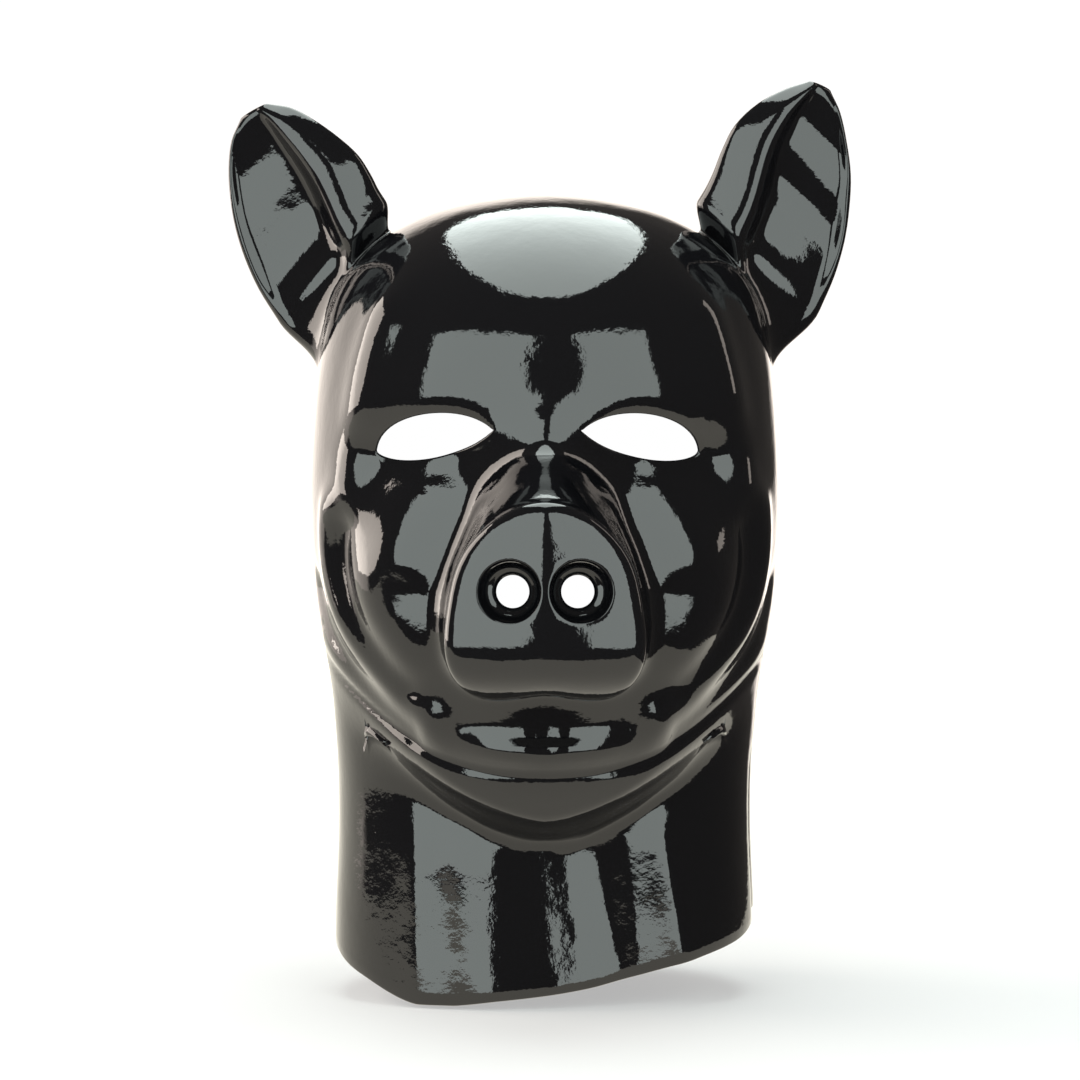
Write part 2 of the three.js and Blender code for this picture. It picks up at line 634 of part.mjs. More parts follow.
// The snout: a wall that flows out of the face, the rolled edge of the disc, the disc itself and the
// two nostrils. Above, the wall runs straight down the bridge to the edge of the disc.
function addSnout({ ids, places }) {
  const loop = blockLoop(SNOUT_BLOCK);
  const middle = facePlace(TINY, SNOUT_LEVEL);
  const angles = loopAngles(loop, -halfTurn / 2);
  const disc = (angle, share) =>
    discPoint(share * discRadius(angle) * Math.sin(angle), share * discRadius(angle) * Math.cos(angle));
  const feet = loop.map(([column, row]) => ids.get(keyOf(column, row)));
  const curves = loop.map(([column, row], k) => {
    const foot = points[feet[k]];
    const edge = disc(angles[k], 1);
    const straight = edge.clone().sub(foot).normalize();
    const arriving = snoutOut.clone().lerp(straight, Math.max(Math.cos(angles[k]), 0) ** 2);
    return rootCurve(foot, places.get(keyOf(column, row)), middle, edge, arriving, SNOUT_PULL, SNOUT_HOLD);
  });
  let ring = addRoot(feet, curves, NET.snoutWallRings, true);
  let share = 1;
  for (let k = 1; k <= NET.snoutRollRings; k++) {
    share = Math.sqrt(Math.cos(radians((SNOUT_ROLL_END * k) / NET.snoutRollRings)));
    const next = angles.map((angle) => addPoint(disc(angle, share)));
    addBand(ring, next, true);
    ring = next;
  }
  addDisc(loop, ring, angles, share);
}

// The disc inside its rolled edge, evened out round the two nostrils
function addDisc(loop, ring, angles, share) {
  const places = new Map();
  const held = new Map();
  const { from, to, low, high } = SNOUT_BLOCK;
  for (let column = from; column <= to; column++) {
    for (let row = low; row <= high; row++) places.set(keyOf(column, row), [0, 0]);
  }
  loop.forEach(([column, row], k) => {
    const radius = share * discRadius(angles[k]);
    places.set(keyOf(column, row), [radius * Math.sin(angles[k]), radius * Math.cos(angles[k])]);
    held.set(keyOf(column, row), ring[k]);
  });
  const nostrils = [1, -1].map((side) => {
    const block = side > 0 ? NOSTRIL_BLOCK : mirrored(NOSTRIL_BLOCK);
    const border = blockLoop(block);
    loopAngles(border, 0).forEach((angle, k) => {
      const x = side * (NOSTRIL_SPREAD - NOSTRIL_RADIUS * Math.cos(angle));
      places.set(keyOf(...border[k]), [x, NOSTRIL_LIFT + NOSTRIL_RADIUS * Math.sin(angle)]);
      held.set(keyOf(...border[k]), null);
    });
    return { side, block, border };
  });
  const hollow = [...places.keys()].filter((key) => nostrils.some(({ block }) => within(block, key)));
  for (const key of hollow) places.delete(key);
  relax(places, [...places.keys()].filter((key) => !held.has(key)));
  const ids = new Map();
  for (const [key, place] of places) ids.set(key, held.get(key) ?? addPoint(discPoint(...place)));
  const corner = ([column, row]) => ids.get(keyOf(column, row));
  for (let column = from; column < to; column++) {
    for (let row = low; row < high; row++) {
      if (nostrils.some(({ block }) => inBlock(block, column, row))) continue;
      addCell(...around(column, row).map(corner));
    }
  }
  for (const { side, border } of nostrils) addNostril(side, border, ids);
}

// The rings down a nostril, which leans a little towards the middle
function addNostril(side, border, ids) {
  let ring = border.map(([column, row]) => ids.get(keyOf(column, row)));
  for (const { radius, depth } of NOSTRIL_RINGS) {
    const reach = radius * NOSTRIL_RADIUS;
    const next = loopAngles(border, 0).map((angle) => {
      const x = side * (NOSTRIL_SPREAD - NOSTRIL_LEAN * depth - reach * Math.cos(angle));
      const lip = discPoint(x, NOSTRIL_LIFT + reach * Math.sin(angle));
      return addPoint(lip.addScaledVector(snoutOut, -depth * NOSTRIL_DEPTH));
    });
    addBand(ring, next, side > 0);
    ring = next;
  }
}

// The shape of an ear's front across its width: 1 is the full thickness of the oval and 0 its middle plane.
// It is pressed flat from near the outer edge to a fold, and rolled forwards beyond the fold.
function earFront(across, press) {
  const plate = smoothstep(across, -0.42, -0.12) * (1 - smoothstep(across, 0.8, 1));
  const roll = smoothstep(across, -0.95, -0.6) * (1 - smoothstep(across, -0.5, -0.2));
  return 1 - press * plate + EAR_ROLL * roll;
}

// One ear: a root that flows out of the head, sections up to the tip, and a strip that closes the tip
function addEar(ear, { ids, places }) {
  const block = ear.side > 0 ? EAR_BLOCK : mirrored(EAR_BLOCK);
  const loop = blockLoop(block);
  const middle = [ear.side * EAR_FOOT_TURN, EAR_FOOT_RISE];
  const centre = skinPoint(...middle).add(new THREE.Vector3(-ear.side * EAR_SINK, 0, 0));
  const splay = radians(ear.splay);
  const along = new THREE.Vector3(ear.side * Math.sin(splay), 0, Math.cos(splay));
  const outward = new THREE.Vector3(ear.side * Math.cos(splay), 0, -Math.sin(splay));
  outward.applyAxisAngle(along, ear.side * radians(EAR_FACING));
  const forward = new THREE.Vector3().crossVectors(outward, along).multiplyScalar(ear.side);

  const section = ({ along: reach, slant, thick, press, [ear.name]: [outer, inner] }) =>
    loopAngles(loop, 0).map((angle) => {
      const across = -Math.sin(angle);
      const sideways = (outer - inner) / 2 + ((outer + inner) / 2) * across;
      const front = thick * Math.cos(angle) * (Math.cos(angle) > 0 ? earFront(across, press) : 1);
      return centre
        .clone()
        .addScaledVector(along, (reach - slant * across) * ear.length)
        .addScaledVector(outward, sideways * EAR_WIDTH)
        .addScaledVector(forward, front * EAR_WIDTH);
    });

  const first = section(EAR_SECTIONS[0]);
  const feet = loop.map(([column, row]) => ids.get(keyOf(column, row)));
  const curves = loop.map(([column, row], k) =>
    rootCurve(points[feet[k]], places.get(keyOf(column, row)), middle, first[k], along, EAR_PULL, EAR_PULL),
  );
  let ring = addRoot(feet, curves, NET.earRootRings, ear.side > 0);
  for (const row of EAR_SECTIONS.slice(1)) {
    const next = section(row).map(addPoint);
    addBand(ring, next, ear.side > 0);
    ring = next;
  }
  closeTip(block, loop, ring, along.multiplyScalar(EAR_TIP_RISE * ear.length), ear.side);
}

// The strip of cells over the last ring of an ear, with its middle line raised a little
function closeTip({ from, to, low, high }, loop, ring, raised, side) {
  const ids = new Map(loop.map(([column, row], k) => [keyOf(column, row), ring[k]]));
  const corner = (column, row) => ids.get(keyOf(column, row));
  const middle = (from + to) / 2;
  for (let row = low + 1; row < high; row++) {
    const halfway = points[corner(from, row)].clone().lerp(points[corner(to, row)], 0.5);
    ids.set(keyOf(middle, row), addPoint(halfway.add(raised)));
  }
  for (const [near, far] of [[from, middle], [middle, to]]) {
    for (let row = low; row < high; row++) {
      addCell(corner(near, row), corner(far, row), corner(far, row + 1), corner(near, row + 1), side < 0);
    }
  }
}

// Gives the skin its wall: a second skin inside the first, and a strip along every open edge
function thicken(wall) {
  const normals = points.map(() => new THREE.Vector3());
  for (const [a, b, c, d] of cells) {
    const first = points[c].clone().sub(points[a]);
    const second = points[d].clone().sub(points[b]);
    const across = first.cross(second);
    for (const corner of [a, b, c, d]) normals[corner].add(across);
  }
  const count = points.length;
  const inner = points.map((point, k) => point.clone().addScaledVector(normals[k].normalize(), -wall));
  const edges = new Map();
  for (const cell of cells) {
    cell.forEach((a, k) => edges.set(keyOf(a, cell[(k + 1) % 4]), [a, cell[(k + 1) % 4]]));
  }
  const all = [...cells, ...cells.map(([a, b, c, d]) => [d + count, c + count, b + count, a + count])];
  for (const [a, b] of edges.values()) {
    if (!edges.has(keyOf(b, a))) all.push([b, a, a + count, b + count]);
  }
  const geometry = new THREE.BufferGeometry();
  geometry.setFromPoints([...points, ...inner]);
  geometry.setIndex(all.flatMap(([a, b, c, d]) => [a, b, c, a, c, d]));
  geometry.computeVertexNormals();
  return geometry;
}

function makeHood() {
  const head = addHead();
  addSnout(head);
  for (const ear of EARS) addEar(ear, head);
  const latex = new THREE.MeshStandardMaterial({ color: 0x0b0b0d, roughness: 0.06, metalness: 0 });
  const hood = new THREE.Mesh(thicken(WALL), latex);
  hood.name = "hood";
  hood.position.z = WALL - CROWN_HEIGHT;
  return hood;
}

const pigHood = new THREE.Group();
pigHood.add(makeHood());

export default pigHood;
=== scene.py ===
"""A moulded latex pig hood in its worn form: its skin, its gloss and the studio that it is seen in."""

import math
from collections import namedtuple

import bpy
import numpy as np
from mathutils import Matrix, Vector


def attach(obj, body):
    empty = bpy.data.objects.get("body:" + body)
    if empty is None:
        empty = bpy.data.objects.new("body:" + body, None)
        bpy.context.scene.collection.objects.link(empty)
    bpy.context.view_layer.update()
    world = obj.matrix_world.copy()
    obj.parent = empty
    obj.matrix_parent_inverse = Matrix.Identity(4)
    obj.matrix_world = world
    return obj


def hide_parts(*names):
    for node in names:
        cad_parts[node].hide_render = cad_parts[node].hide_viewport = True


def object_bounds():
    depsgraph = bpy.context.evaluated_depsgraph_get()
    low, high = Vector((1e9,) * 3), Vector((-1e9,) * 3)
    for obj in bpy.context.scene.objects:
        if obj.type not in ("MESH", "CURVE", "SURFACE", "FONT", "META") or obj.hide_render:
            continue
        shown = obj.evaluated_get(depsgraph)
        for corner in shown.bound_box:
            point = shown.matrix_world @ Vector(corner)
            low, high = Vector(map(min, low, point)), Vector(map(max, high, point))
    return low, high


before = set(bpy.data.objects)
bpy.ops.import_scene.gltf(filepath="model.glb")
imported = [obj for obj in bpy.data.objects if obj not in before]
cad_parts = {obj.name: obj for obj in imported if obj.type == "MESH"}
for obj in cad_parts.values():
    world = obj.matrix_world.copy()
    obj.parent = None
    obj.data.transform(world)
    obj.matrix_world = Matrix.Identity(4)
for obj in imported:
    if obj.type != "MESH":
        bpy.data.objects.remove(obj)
CAD_BOX = [list(corner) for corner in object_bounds()]

bl_info = {
    "name": "Latex Pig Hood",
    "version": (1, 0, 0),
    "blender": (4, 5, 0),
    "location": "View3D > Sidebar > Hood",
    "description": "Makes a glossy moulded latex pig hood and its studio",
    "category": "Add Mesh",
}

MM = 0.001
TINY = 1e-6


def table(columns, rows):
    """Turns rows of numbers into a dictionary of named columns."""
    return dict(zip(columns.split(), np.array(rows, float).T))


# Cross-sections of the head from the rim up to the crown. rise is the share of the way up the side; height
# is a share of the crown height, width of half the head width, front and back of the head's front and back,
# and square says how boxy the section is, 2 being an ellipse.
HEAD_SECTIONS = table("rise height width front back square", [
    (0.0, 0.0, 0.9, 0.84, 0.74, 2.3),
    (0.17, 0.202, 0.885, 0.82, 0.75, 2.0),
    (0.24, 0.285, 0.89, 0.935, 0.77, 1.85),
    (0.32, 0.379, 0.922, 0.985, 0.81, 1.9),
    (0.42, 0.498, 0.972, 0.99, 0.885, 2.45),
    (0.52, 0.616, 0.997, 0.96, 0.96, 2.6),
    (0.6, 0.711, 0.985, 0.965, 0.995, 2.5),
    (0.677, 0.8, 0.953, 0.95, 0.975, 2.4),
    (0.751, 0.882, 0.877, 0.85, 0.885, 2.25),
    (0.82, 0.942, 0.71, 0.66, 0.71, 2.1),
    (0.898, 0.983, 0.42, 0.38, 0.42, 2.0),
    (1.0, 1.0, 0.0, 0.0, 0.0, 2.0),
    (1.102, 0.983, -0.42, -0.38, -0.42, 2.0),
])

# Cross-sections of the neck, which runs up inside the jaw, as shares of half the neck width, the neck's
# front and its back
NECK_SECTIONS = table("rise width front back square", [
    (0.0, 1.0, 1.0, 1.0, 2.5),
    (0.08, 0.995, 0.965, 0.985, 2.5),
    (0.17, 0.98, 0.95, 0.97, 2.45),
    (0.24, 0.985, 0.94, 0.985, 2.4),
    (0.34, 1.02, 1.0, 1.06, 2.4),
    (0.45, 1.08, 1.2, 1.19, 2.5),
])

# The hand-cut rim: bearing in degrees from the front towards the wearer's left, lift as a share of the
# rim's rise
RIM_CUT = table("bearing lift", [
    (-180, 0.6),
    (-135, 0.8),
    (-90, 0.66),
    (-60, 0.3),
    (-40, 0.0),
    (-15, 0.07),
    (15, 0.22),
    (40, 0.46),
    (65, 0.7),
    (90, 0.96),
    (135, 0.85),
    (180, 0.6),
])

# Folds of the face and neck, as they come out of the mould. Each runs from one place by another to a third,
# and a place is a bearing in degrees and a height as a share of the crown height. It stands out (+) or sinks
# in (-) by depth, over width, both in fold sizes. side is 0 on both sides, 1 on the wearer's left, -1 on the
# right.
Fold = namedtuple("Fold", "name side start via end depth width")
FOLDS = [Fold(*row) for row in [
    ("nose_bridge", 0, (0, 0.71), (0, 0.68), (0, 0.62), 0.65, 1.25),
    ("brow", 0, (9, 0.757), (26, 0.79), (42, 0.732), 0.07, 0.9),
    ("eye_socket", 0, (22, 0.686), (30, 0.684), (40, 0.68), -0.75, 1.25),
    ("temple_ridge", 0, (42, 0.86), (43, 0.76), (47, 0.655), 0.36, 1),
    ("cheek_pad", 0, (34, 0.56), (42, 0.52), (32, 0.445), 0.36, 1.2),
    ("cheek_groove", 0, (50, 0.59), (54, 0.5), (33, 0.4), -0.28, 0.6),
    ("jowl_ridge", 0, (55, 0.61), (62, 0.482), (27, 0.362), 0.36, 0.8),
    ("jowl_line", 0, (72, 0.512), (60, 0.412), (34, 0.347), -0.22, 0.6),
    ("philtrum", 0, (0, 0.397), (0, 0.372), (0, 0.332), -0.12, 0.5),
    ("neck_corner", -1, (38, 0), (40, 0.09), (42, 0.19), 0.1, 0.9),
    ("neck_ridge", -1, (20, 0), (24, 0.09), (28, 0.18), 0.2, 1.18),
    ("throat_ridge", -1, (9, 0), (13, 0.09), (17, 0.18), 0.14, 1.18),
    ("throat_middle", -1, (-2, 0), (2, 0.09), (6, 0.18), 0.1, 1.18),
    ("neck_furrow", 1, (26, 0), (22, 0.1), (18, 0.19), -0.16, 1.1),
    ("neck_cord", 1, (46, 0.02), (41, 0.12), (38, 0.2), 0.12, 0.8),
    ("neck_back_fold", 1, (84, 0), (84, 0.12), (84, 0.28), -0.2, 0.7),
]]

# The jaw and mouth lines rise to the sides as powers of a sine. Between two bearings each, the lip loses
# a share of its depth and the mouth line fades out.
JAW_POWER = 1.9
MOUTH_POWER = 2.4
LIP_THINNING = 0.75
LIP_FADE = (8, 24)
MOUTH_FADE = (62, 85)

# The lids of the eye opening as cubic curves from its inner corner: across as a share of its width, up as a
# share of its height
UPPER_LID = table("across up", [(0.0, 0.16), (0.2, 0.7), (0.94, 0.6), (1.0, -0.26)])
LOWER_LID = table("across up", [(1.0, -0.26), (1.03, -0.58), (0.3, -0.58), (0.0, 0.16)])

# Rings down a nostril, as shares of its radius and depth
NOSTRIL_RINGS = table("ring radius depth", [
    (0, 1.0, 0.0),
    (1, 0.955, 0.03),
    (2, 0.89, 0.2),
    (3, 0.8, 0.62),
    (4, 0.56, 0.8),
    (5, 0.5, 1.0),
])

# Cross-sections of an ear. along is a share of its length, slant and the four edges are shares of its width:
# how far its outer and inner edges stand from its middle line, on the wearer's left and right. thick is half
# its thickness, also in widths, and press is how far its front is pressed flat, from 0 to 1.
EAR_SECTIONS = table("along slant outer_left outer_right inner_left inner_right thick press", [
    (0.2, 0.12, 0.6, 0.57, 0.45, 0.46, 0.21, 0.4),
    (0.32, 0.07, 0.6, 0.58, 0.435, 0.455, 0.19, 0.8),
    (0.44, 0.03, 0.57, 0.56, 0.43, 0.46, 0.17, 0.95),
    (0.57, 0.01, 0.51, 0.515, 0.435, 0.45, 0.145, 1.0),
    (0.7, 0.0, 0.43, 0.445, 0.42, 0.395, 0.12, 1.0),
    (0.83, 0.0, 0.315, 0.355, 0.335, 0.31, 0.1, 0.9),
    (0.94, 0.0, 0.195, 0.245, 0.2, 0.21, 0.07, 0.6),
    (1.003, 0.0, 0.09, 0.13, 0.09, 0.1, 0.035, 0.0),
])

# How the skin is divided. The columns run round the head from the middle of the face, and the rows run up
# from the rim to the square cap that closes the crown. FINENESS splits every one of these cells.
FINENESS = 4
FRONT_COLUMNS = 11
SIDE_COLUMNS = 8
FRONT_SPAN = 48
SIDE_SPAN = 110
HALF_COLUMNS = 2 * FRONT_COLUMNS + SIDE_COLUMNS
ROWS = 32
JAW_ROW = 5
MOUTH_ROW = 8
JAW_REACH = 12
MOUTH_REACH = 8
CAP_RISE = 0.9
EYE_BLOCK = (2, 7, 22, 24)
EAR_BLOCK = (14, 16, 22, 30)
SNOUT_BLOCK = (-6, 6, 11, 21)
NOSTRIL_BLOCK = (1, 5, 15, 19)
SNOUT_WALL_RINGS = 5
SNOUT_ROLL_RINGS = 2
SNOUT_ROLL_END = 40
EAR_ROOT_RINGS = 3
RELAX_STEPS = 1500
DISC_RELAX_STEPS = 3000
LIP_RINGS = 3

# How finely a fold's curve is cut into straight pieces, heights are read back from the sections, and a
# place on the face is looked for
FOLD_PIECES = 12
HEIGHT_PIECES = 2000
HALVINGS = 25


def length(name, description, default_mm):
    """A length property with its default given in millimetres."""
    return bpy.props.FloatProperty(
        name=name, description=description, default=default_mm * MM, unit="LENGTH", subtype="DISTANCE")


def hex_colour(code):
    """Linear red, green and blue of an sRGB hex code: each channel is ((c + 0.055) / 1.055) to the power 2.4
    above 0.04045, and c / 12.92 below it."""
    channels = [int(code[k:k + 2], 16) / 255 for k in (0, 2, 4)]
    return [c / 12.92 if c <= 0.04045 else ((c + 0.055) / 1.055) ** 2.4 for c in channels]


def colour(name, description, code):
    """A colour property with its default given as an sRGB hex code."""
    return bpy.props.FloatVectorProperty(
        name=name, description=description, default=hex_colour(code), subtype="COLOR", min=0, max=1)


class HoodSizes(bpy.types.PropertyGroup):
    """Driving sizes of the hood."""

    wall: length("Wall", "Thickness of the latex", 1.5)
    crown_height: length("Crown height", "From the lowest point of the rim to the top of the crown", 293)
    head_width: length("Head width", "Widest part of the head", 174)
    head_front: length("Head front", "From the middle of the head forwards to the face", 97)
    head_back: length("Head back", "From the middle of the head back to the nape", 99)
    neck_width: length("Neck width", "Width of the neck at the rim", 156)
    neck_front: length("Neck front", "From the middle forwards to the throat", 62)
    neck_back: length("Neck back", "From the middle back to the nape at the rim", 76)
    rim_rise: length("Rim rise", "Highest point of the cut rim above its lowest", 30)
    jaw_height: length("Jaw height", "Height at which the chin turns in to the neck", 64)
    jaw_rise: length("Jaw rise", "How much higher the jaw line is at the sides", 56)
    jaw_turn: length("Jaw turn", "Half the height over which the chin turns in", 6)
    mouth_height: length("Mouth height", "Height of the middle of the mouth", 87)
    mouth_rise: length("Mouth rise", "How much higher the mouth line ends at the sides", 38)
    lip_out: length("Lip", "How far the lip stands out", 3.5)
    lip_width: length("Lip width", "Width of the lip", 5)
    lip_above: length("Lip height", "How far the lip is above the mouth line", 8)
    mouth_depth: length("Mouth depth", "Depth of the groove of the mouth", 1.3)
    mouth_width: length("Mouth width", "Width of the groove of the mouth", 2.4)
    fold: length("Fold size", "Scale of the depth and width of all folds", 10)
    fold_end: length("Fold end", "Distance from the crown's middle inside which no fold shows", 5)
    fold_full: length("Fold full", "Distance from there at which folds have their full depth", 40)
    eye_level: length("Eye level", "Height of the middle of the eye openings", 207.5)
    eye_inner: length("Eye inner corner", "From the middle of the face to the inner corner", 15.2)
    eye_shift: length("Eye shift", "How far both openings are cut towards the wearer's left", -2.8)
    eye_width: length("Eye width", "Width of an eye opening", 43.5)
    eye_height: length("Eye height", "Height of an eye opening", 19.5)
    snout_level: length("Snout level", "Height of the middle of the snout's disc", 153)
    snout_radius: length("Snout radius", "Radius of the snout's disc", 36)
    snout_reach: length("Snout reach", "From the middle of the head forwards to the disc", 152)
    snout_dome: length("Snout dome", "How far the disc's middle stands before its edge", 8)
    snout_curl: length("Snout curl", "How far the disc's lower edge curls under", 20)
    crease_sharp: length("Crease", "Width of the disc's crease above", 1.2)
    crease_blunt: length("Crease blunting", "How much wider the crease is below", 7)
    snout_flare: length("Snout flare", "How much wider the foot of the snout is", 8)
    bridge_flare: length("Bridge flare", "How much further the foot runs up the nose bridge", 17)
    nostril_spread: length("Nostril spread", "From the middle of the disc across to a nostril", 12.6)
    nostril_lift: length("Nostril lift", "How far the nostrils are above the disc's middle", 4.5)
    nostril_radius: length("Nostril radius", "Radius of a nostril at its lip", 11.6)
    nostril_depth: length("Nostril depth", "Depth of a nostril", 11)
    nostril_lean: length("Nostril lean", "How far a nostril leans towards the middle", 1.2)
    ear_width: length("Ear width", "Widest part of an ear", 56)
    ear_length_left: length("Left ear", "Length of the wearer's left ear", 82)
    ear_length_right: length("Right ear", "Length of the wearer's right ear", 76.5)
    ear_foot_half: length("Ear foot height", "Half the height of the oval where an ear grows out", 33)
    ear_foot_depth: length("Ear foot depth", "Half the depth of that oval", 17)
    ear_sink: length("Ear sink", "How far an ear's middle line passes inside its foot", 8.5)


class LatexFinish(bpy.types.PropertyGroup):
    """Colour and surface of the latex."""

    black: colour("Black", "Colour of the dipped latex", "0a0a0c")
    ripple: length("Ripple", "Distance between the small waves of the dipped skin", 3.2)
    ripple_height: length("Ripple height", "Height of those waves", 0.06)
    swell: length("Swell", "Distance between the slow waves of the stretched skin", 14)
    swell_height: length("Swell height", "Height of those slow waves", 0.2)


class Studio(bpy.types.PropertyGroup):
    """Backdrop, lights and camera."""

    paper: colour("Paper", "Colour of the floor and backdrop", "fdfdfd")
    warm: colour("Backdrop light", "Colour of the bright backdrop in the gloss", "fff3e8")
    floor_glow: colour("Floor light", "Colour of the bright floor in the gloss", "fff9e9")
    cool: colour("Box light", "Colour of the soft boxes", "f4fffb")
    camera_distance: length("Camera distance", "From the hood's middle to the camera", 2600)
    camera_height: length("View centre", "Height of the middle of the view above the rim", 165.1)
    camera_side: length("View side", "How far the view's middle is to the viewer's left", 1.85)
    view_size: length("View size", "Height and width of the view at the hood", 400)
    camera_elevation: bpy.props.FloatProperty(
        name="Camera elevation", description="How far the camera looks down",
        default=math.radians(4), unit="ROTATION", subtype="ANGLE")


# Surfaces

def column_at(data, key, name, at):
    """A table's column at a value of its key column: between two rows it is the straight line plus
    t (1 - t) times a bend that gives each row the slope of the chord across its neighbours."""
    keys, values = data[key], data[name]
    slopes = np.empty_like(values)
    slopes[1:-1] = (values[2:] - values[:-2]) / (keys[2:] - keys[:-2])
    slopes[0] = (values[1] - values[0]) / (keys[1] - keys[0])
    slopes[-1] = (values[-1] - values[-2]) / (keys[-1] - keys[-2])
    row = np.clip(np.searchsorted(keys, at, side="right") - 1, 0, len(keys) - 2)
    step = keys[row + 1] - keys[row]
    t = np.clip((at - keys[row]) / step, 0, 1)
    start, end = values[row], values[row + 1]
    bend = (1 - t) * slopes[row] * step - t * slopes[row + 1] * step
    return start + (end - start) * t + t * (1 - t) * (bend + (2 * t - 1) * (end - start))


def smooth(x, low, high):
    """0 below low, 1 above high, and 3 t^2 - 2 t^3 between."""
    t = np.clip((x - low) / (high - low), 0, 1)
    return t * t * (3 - 2 * t)


def band(x, rise, fall):
    """1 between two fades, each given by its ends, and 0 outside them."""
    return smooth(x, *rise) * (1 - smooth(x, *fall))


def cubic(points, t):
    """A point on the cubic curve through four control points at t."""
    s = 1 - t
    return s ** 3 * points[0] + 3 * s * s * t * points[1] + 3 * s * t * t * points[2] + t ** 3 * points[3]


def rise_at(size, height):
    """The rise at which the head reaches a height, read back from the sections."""
    rises = np.linspace(0, 1, HEIGHT_PIECES + 1)
    return np.interp(height / size.crown_height, column_at(HEAD_SECTIONS, "rise", "height", rises), rises)


def lifted(bearing, base, rise, power):
    """base + rise sin(bearing)^power, level behind the ears."""
    turned = np.radians(np.minimum(np.abs(bearing), 90))
    return base + rise * np.sin(turned) ** power


def jaw_height(size, bearing):
    """Height of the line where the jaw turns in to the neck."""
    return lifted(bearing, size.jaw_height, size.jaw_rise, JAW_POWER)


def mouth_height(size, bearing):
    """Height of the line of the closed mouth."""
    return lifted(bearing, size.mouth_height, size.mouth_rise, MOUTH_POWER)


def fold_distance(size, fold, bearing, height):
    """Distance on the unrolled skin to the quadratic curve through a fold's three places, as the least
    distance to its short straight pieces."""
    one_degree = math.radians(1) * size.head_width / 2
    t = np.linspace(0, 1, FOLD_PIECES + 1)
    weights = np.stack([(1 - t) ** 2, 2 * t * (1 - t), t * t])
    line_x, line_y = np.array([fold.start, fold.via, fold.end]).T @ weights
    line_x, line_y = one_degree * line_x, size.crown_height * line_y
    best = np.full(np.shape(bearing), np.inf)
    x = bearing * one_degree
    for ax, ay, bx, by in zip(line_x[:-1], line_y[:-1], line_x[1:], line_y[1:]):
        share = ((x - ax) * (bx - ax) + (height - ay) * (by - ay)) / ((bx - ax) ** 2 + (by - ay) ** 2)
        share = np.clip(share, 0, 1)
        best = np.minimum(best, np.hypot(x - ax - share * (bx - ax), height - ay - share * (by - ay)))
    return best


def relief(size, bearing, height):
    """How far the folds move the skin outwards: each adds depth e^-(distance / width)^2, once where it lies
    along the middle of the face, on its own side, or on both. The lip and the mouth line add theirs in
    the same way by their height above the mouth line."""
    out = np.zeros(np.shape(bearing))
    for fold in FOLDS:
        middle = fold.start[0] == 0 and fold.end[0] == 0
        sides = (1,) if middle else (fold.side,) if fold.side else (-1, 1)
        for facing in sides:
            distance = fold_distance(size, fold, facing * bearing, height) / (fold.width * size.fold)
            out = out + fold.depth * size.fold * np.exp(-(distance ** 2))
    above = height - mouth_height(size, bearing)
    wide = 1 - smooth(np.abs(bearing), *MOUTH_FADE)
    full = size.lip_out * (1 - LIP_THINNING * smooth(np.abs(bearing), *LIP_FADE))
    lip = full * np.exp(-(((above - size.lip_above) / size.lip_width) ** 2))
    return out + wide * (lip - size.mouth_depth * np.exp(-((above / size.mouth_width) ** 2)))


def skin_point(size, bearing, rise):
    """A point of the outer skin. Its radius at a bearing is (|sin / width|^n + |cos / depth|^n)^(-1/n), with
    the neck's values below the jaw line and the head's above it, and the folds are added to it. The chin
    turns in over three times as much height at the sides as in the middle."""
    bearing, rise = np.broadcast_arrays(np.asarray(bearing, float), np.asarray(rise, float))
    turn = np.radians(bearing)
    height = size.crown_height * column_at(HEAD_SECTIONS, "rise", "height", rise)
    under = size.jaw_turn * (1 + 2 * np.abs(np.sin(turn)))
    jaw = smooth(height - jaw_height(size, bearing), -under, under)
    low = np.minimum(rise, NECK_SECTIONS["rise"][-1])

    def read(name, head, neck):
        above = head * column_at(HEAD_SECTIONS, "rise", name, rise)
        below = neck * column_at(NECK_SECTIONS, "rise", name, low)
        return below + (above - below) * jaw

    half = np.maximum(read("width", size.head_width / 2, size.neck_width / 2), TINY)
    front = np.maximum(read("front", size.head_front, size.neck_front), TINY)
    back = np.maximum(read("back", size.head_back, size.neck_back), TINY)
    square = read("square", 1, 1)
    depth = back + (front - back) * smooth(np.cos(turn), -1, 1)
    radius = (np.abs(np.sin(turn) / half) ** square + np.abs(np.cos(turn) / depth) ** square) ** (-1 / square)
    out = radius + relief(size, bearing, height) * smooth(radius, size.fold_end, size.fold_full)
    return np.stack([out * np.sin(turn), -out * np.cos(turn), height], axis=-1)


def face_place(size, x, height):
    """Bearing and rise of the skin point seen at (x, height) from the front, found by halving."""
    rise = rise_at(size, height)
    low, high = np.zeros_like(x), np.full_like(x, 90.0)
    for _ in range(HALVINGS):
        middle = (low + high) / 2
        inside = skin_point(size, middle * np.sign(x), rise)[..., 0] * np.sign(x) < np.abs(x)
        low, high = np.where(inside, middle, low), np.where(inside, high, middle)
    return np.sign(x) * low, rise


# The net of cells

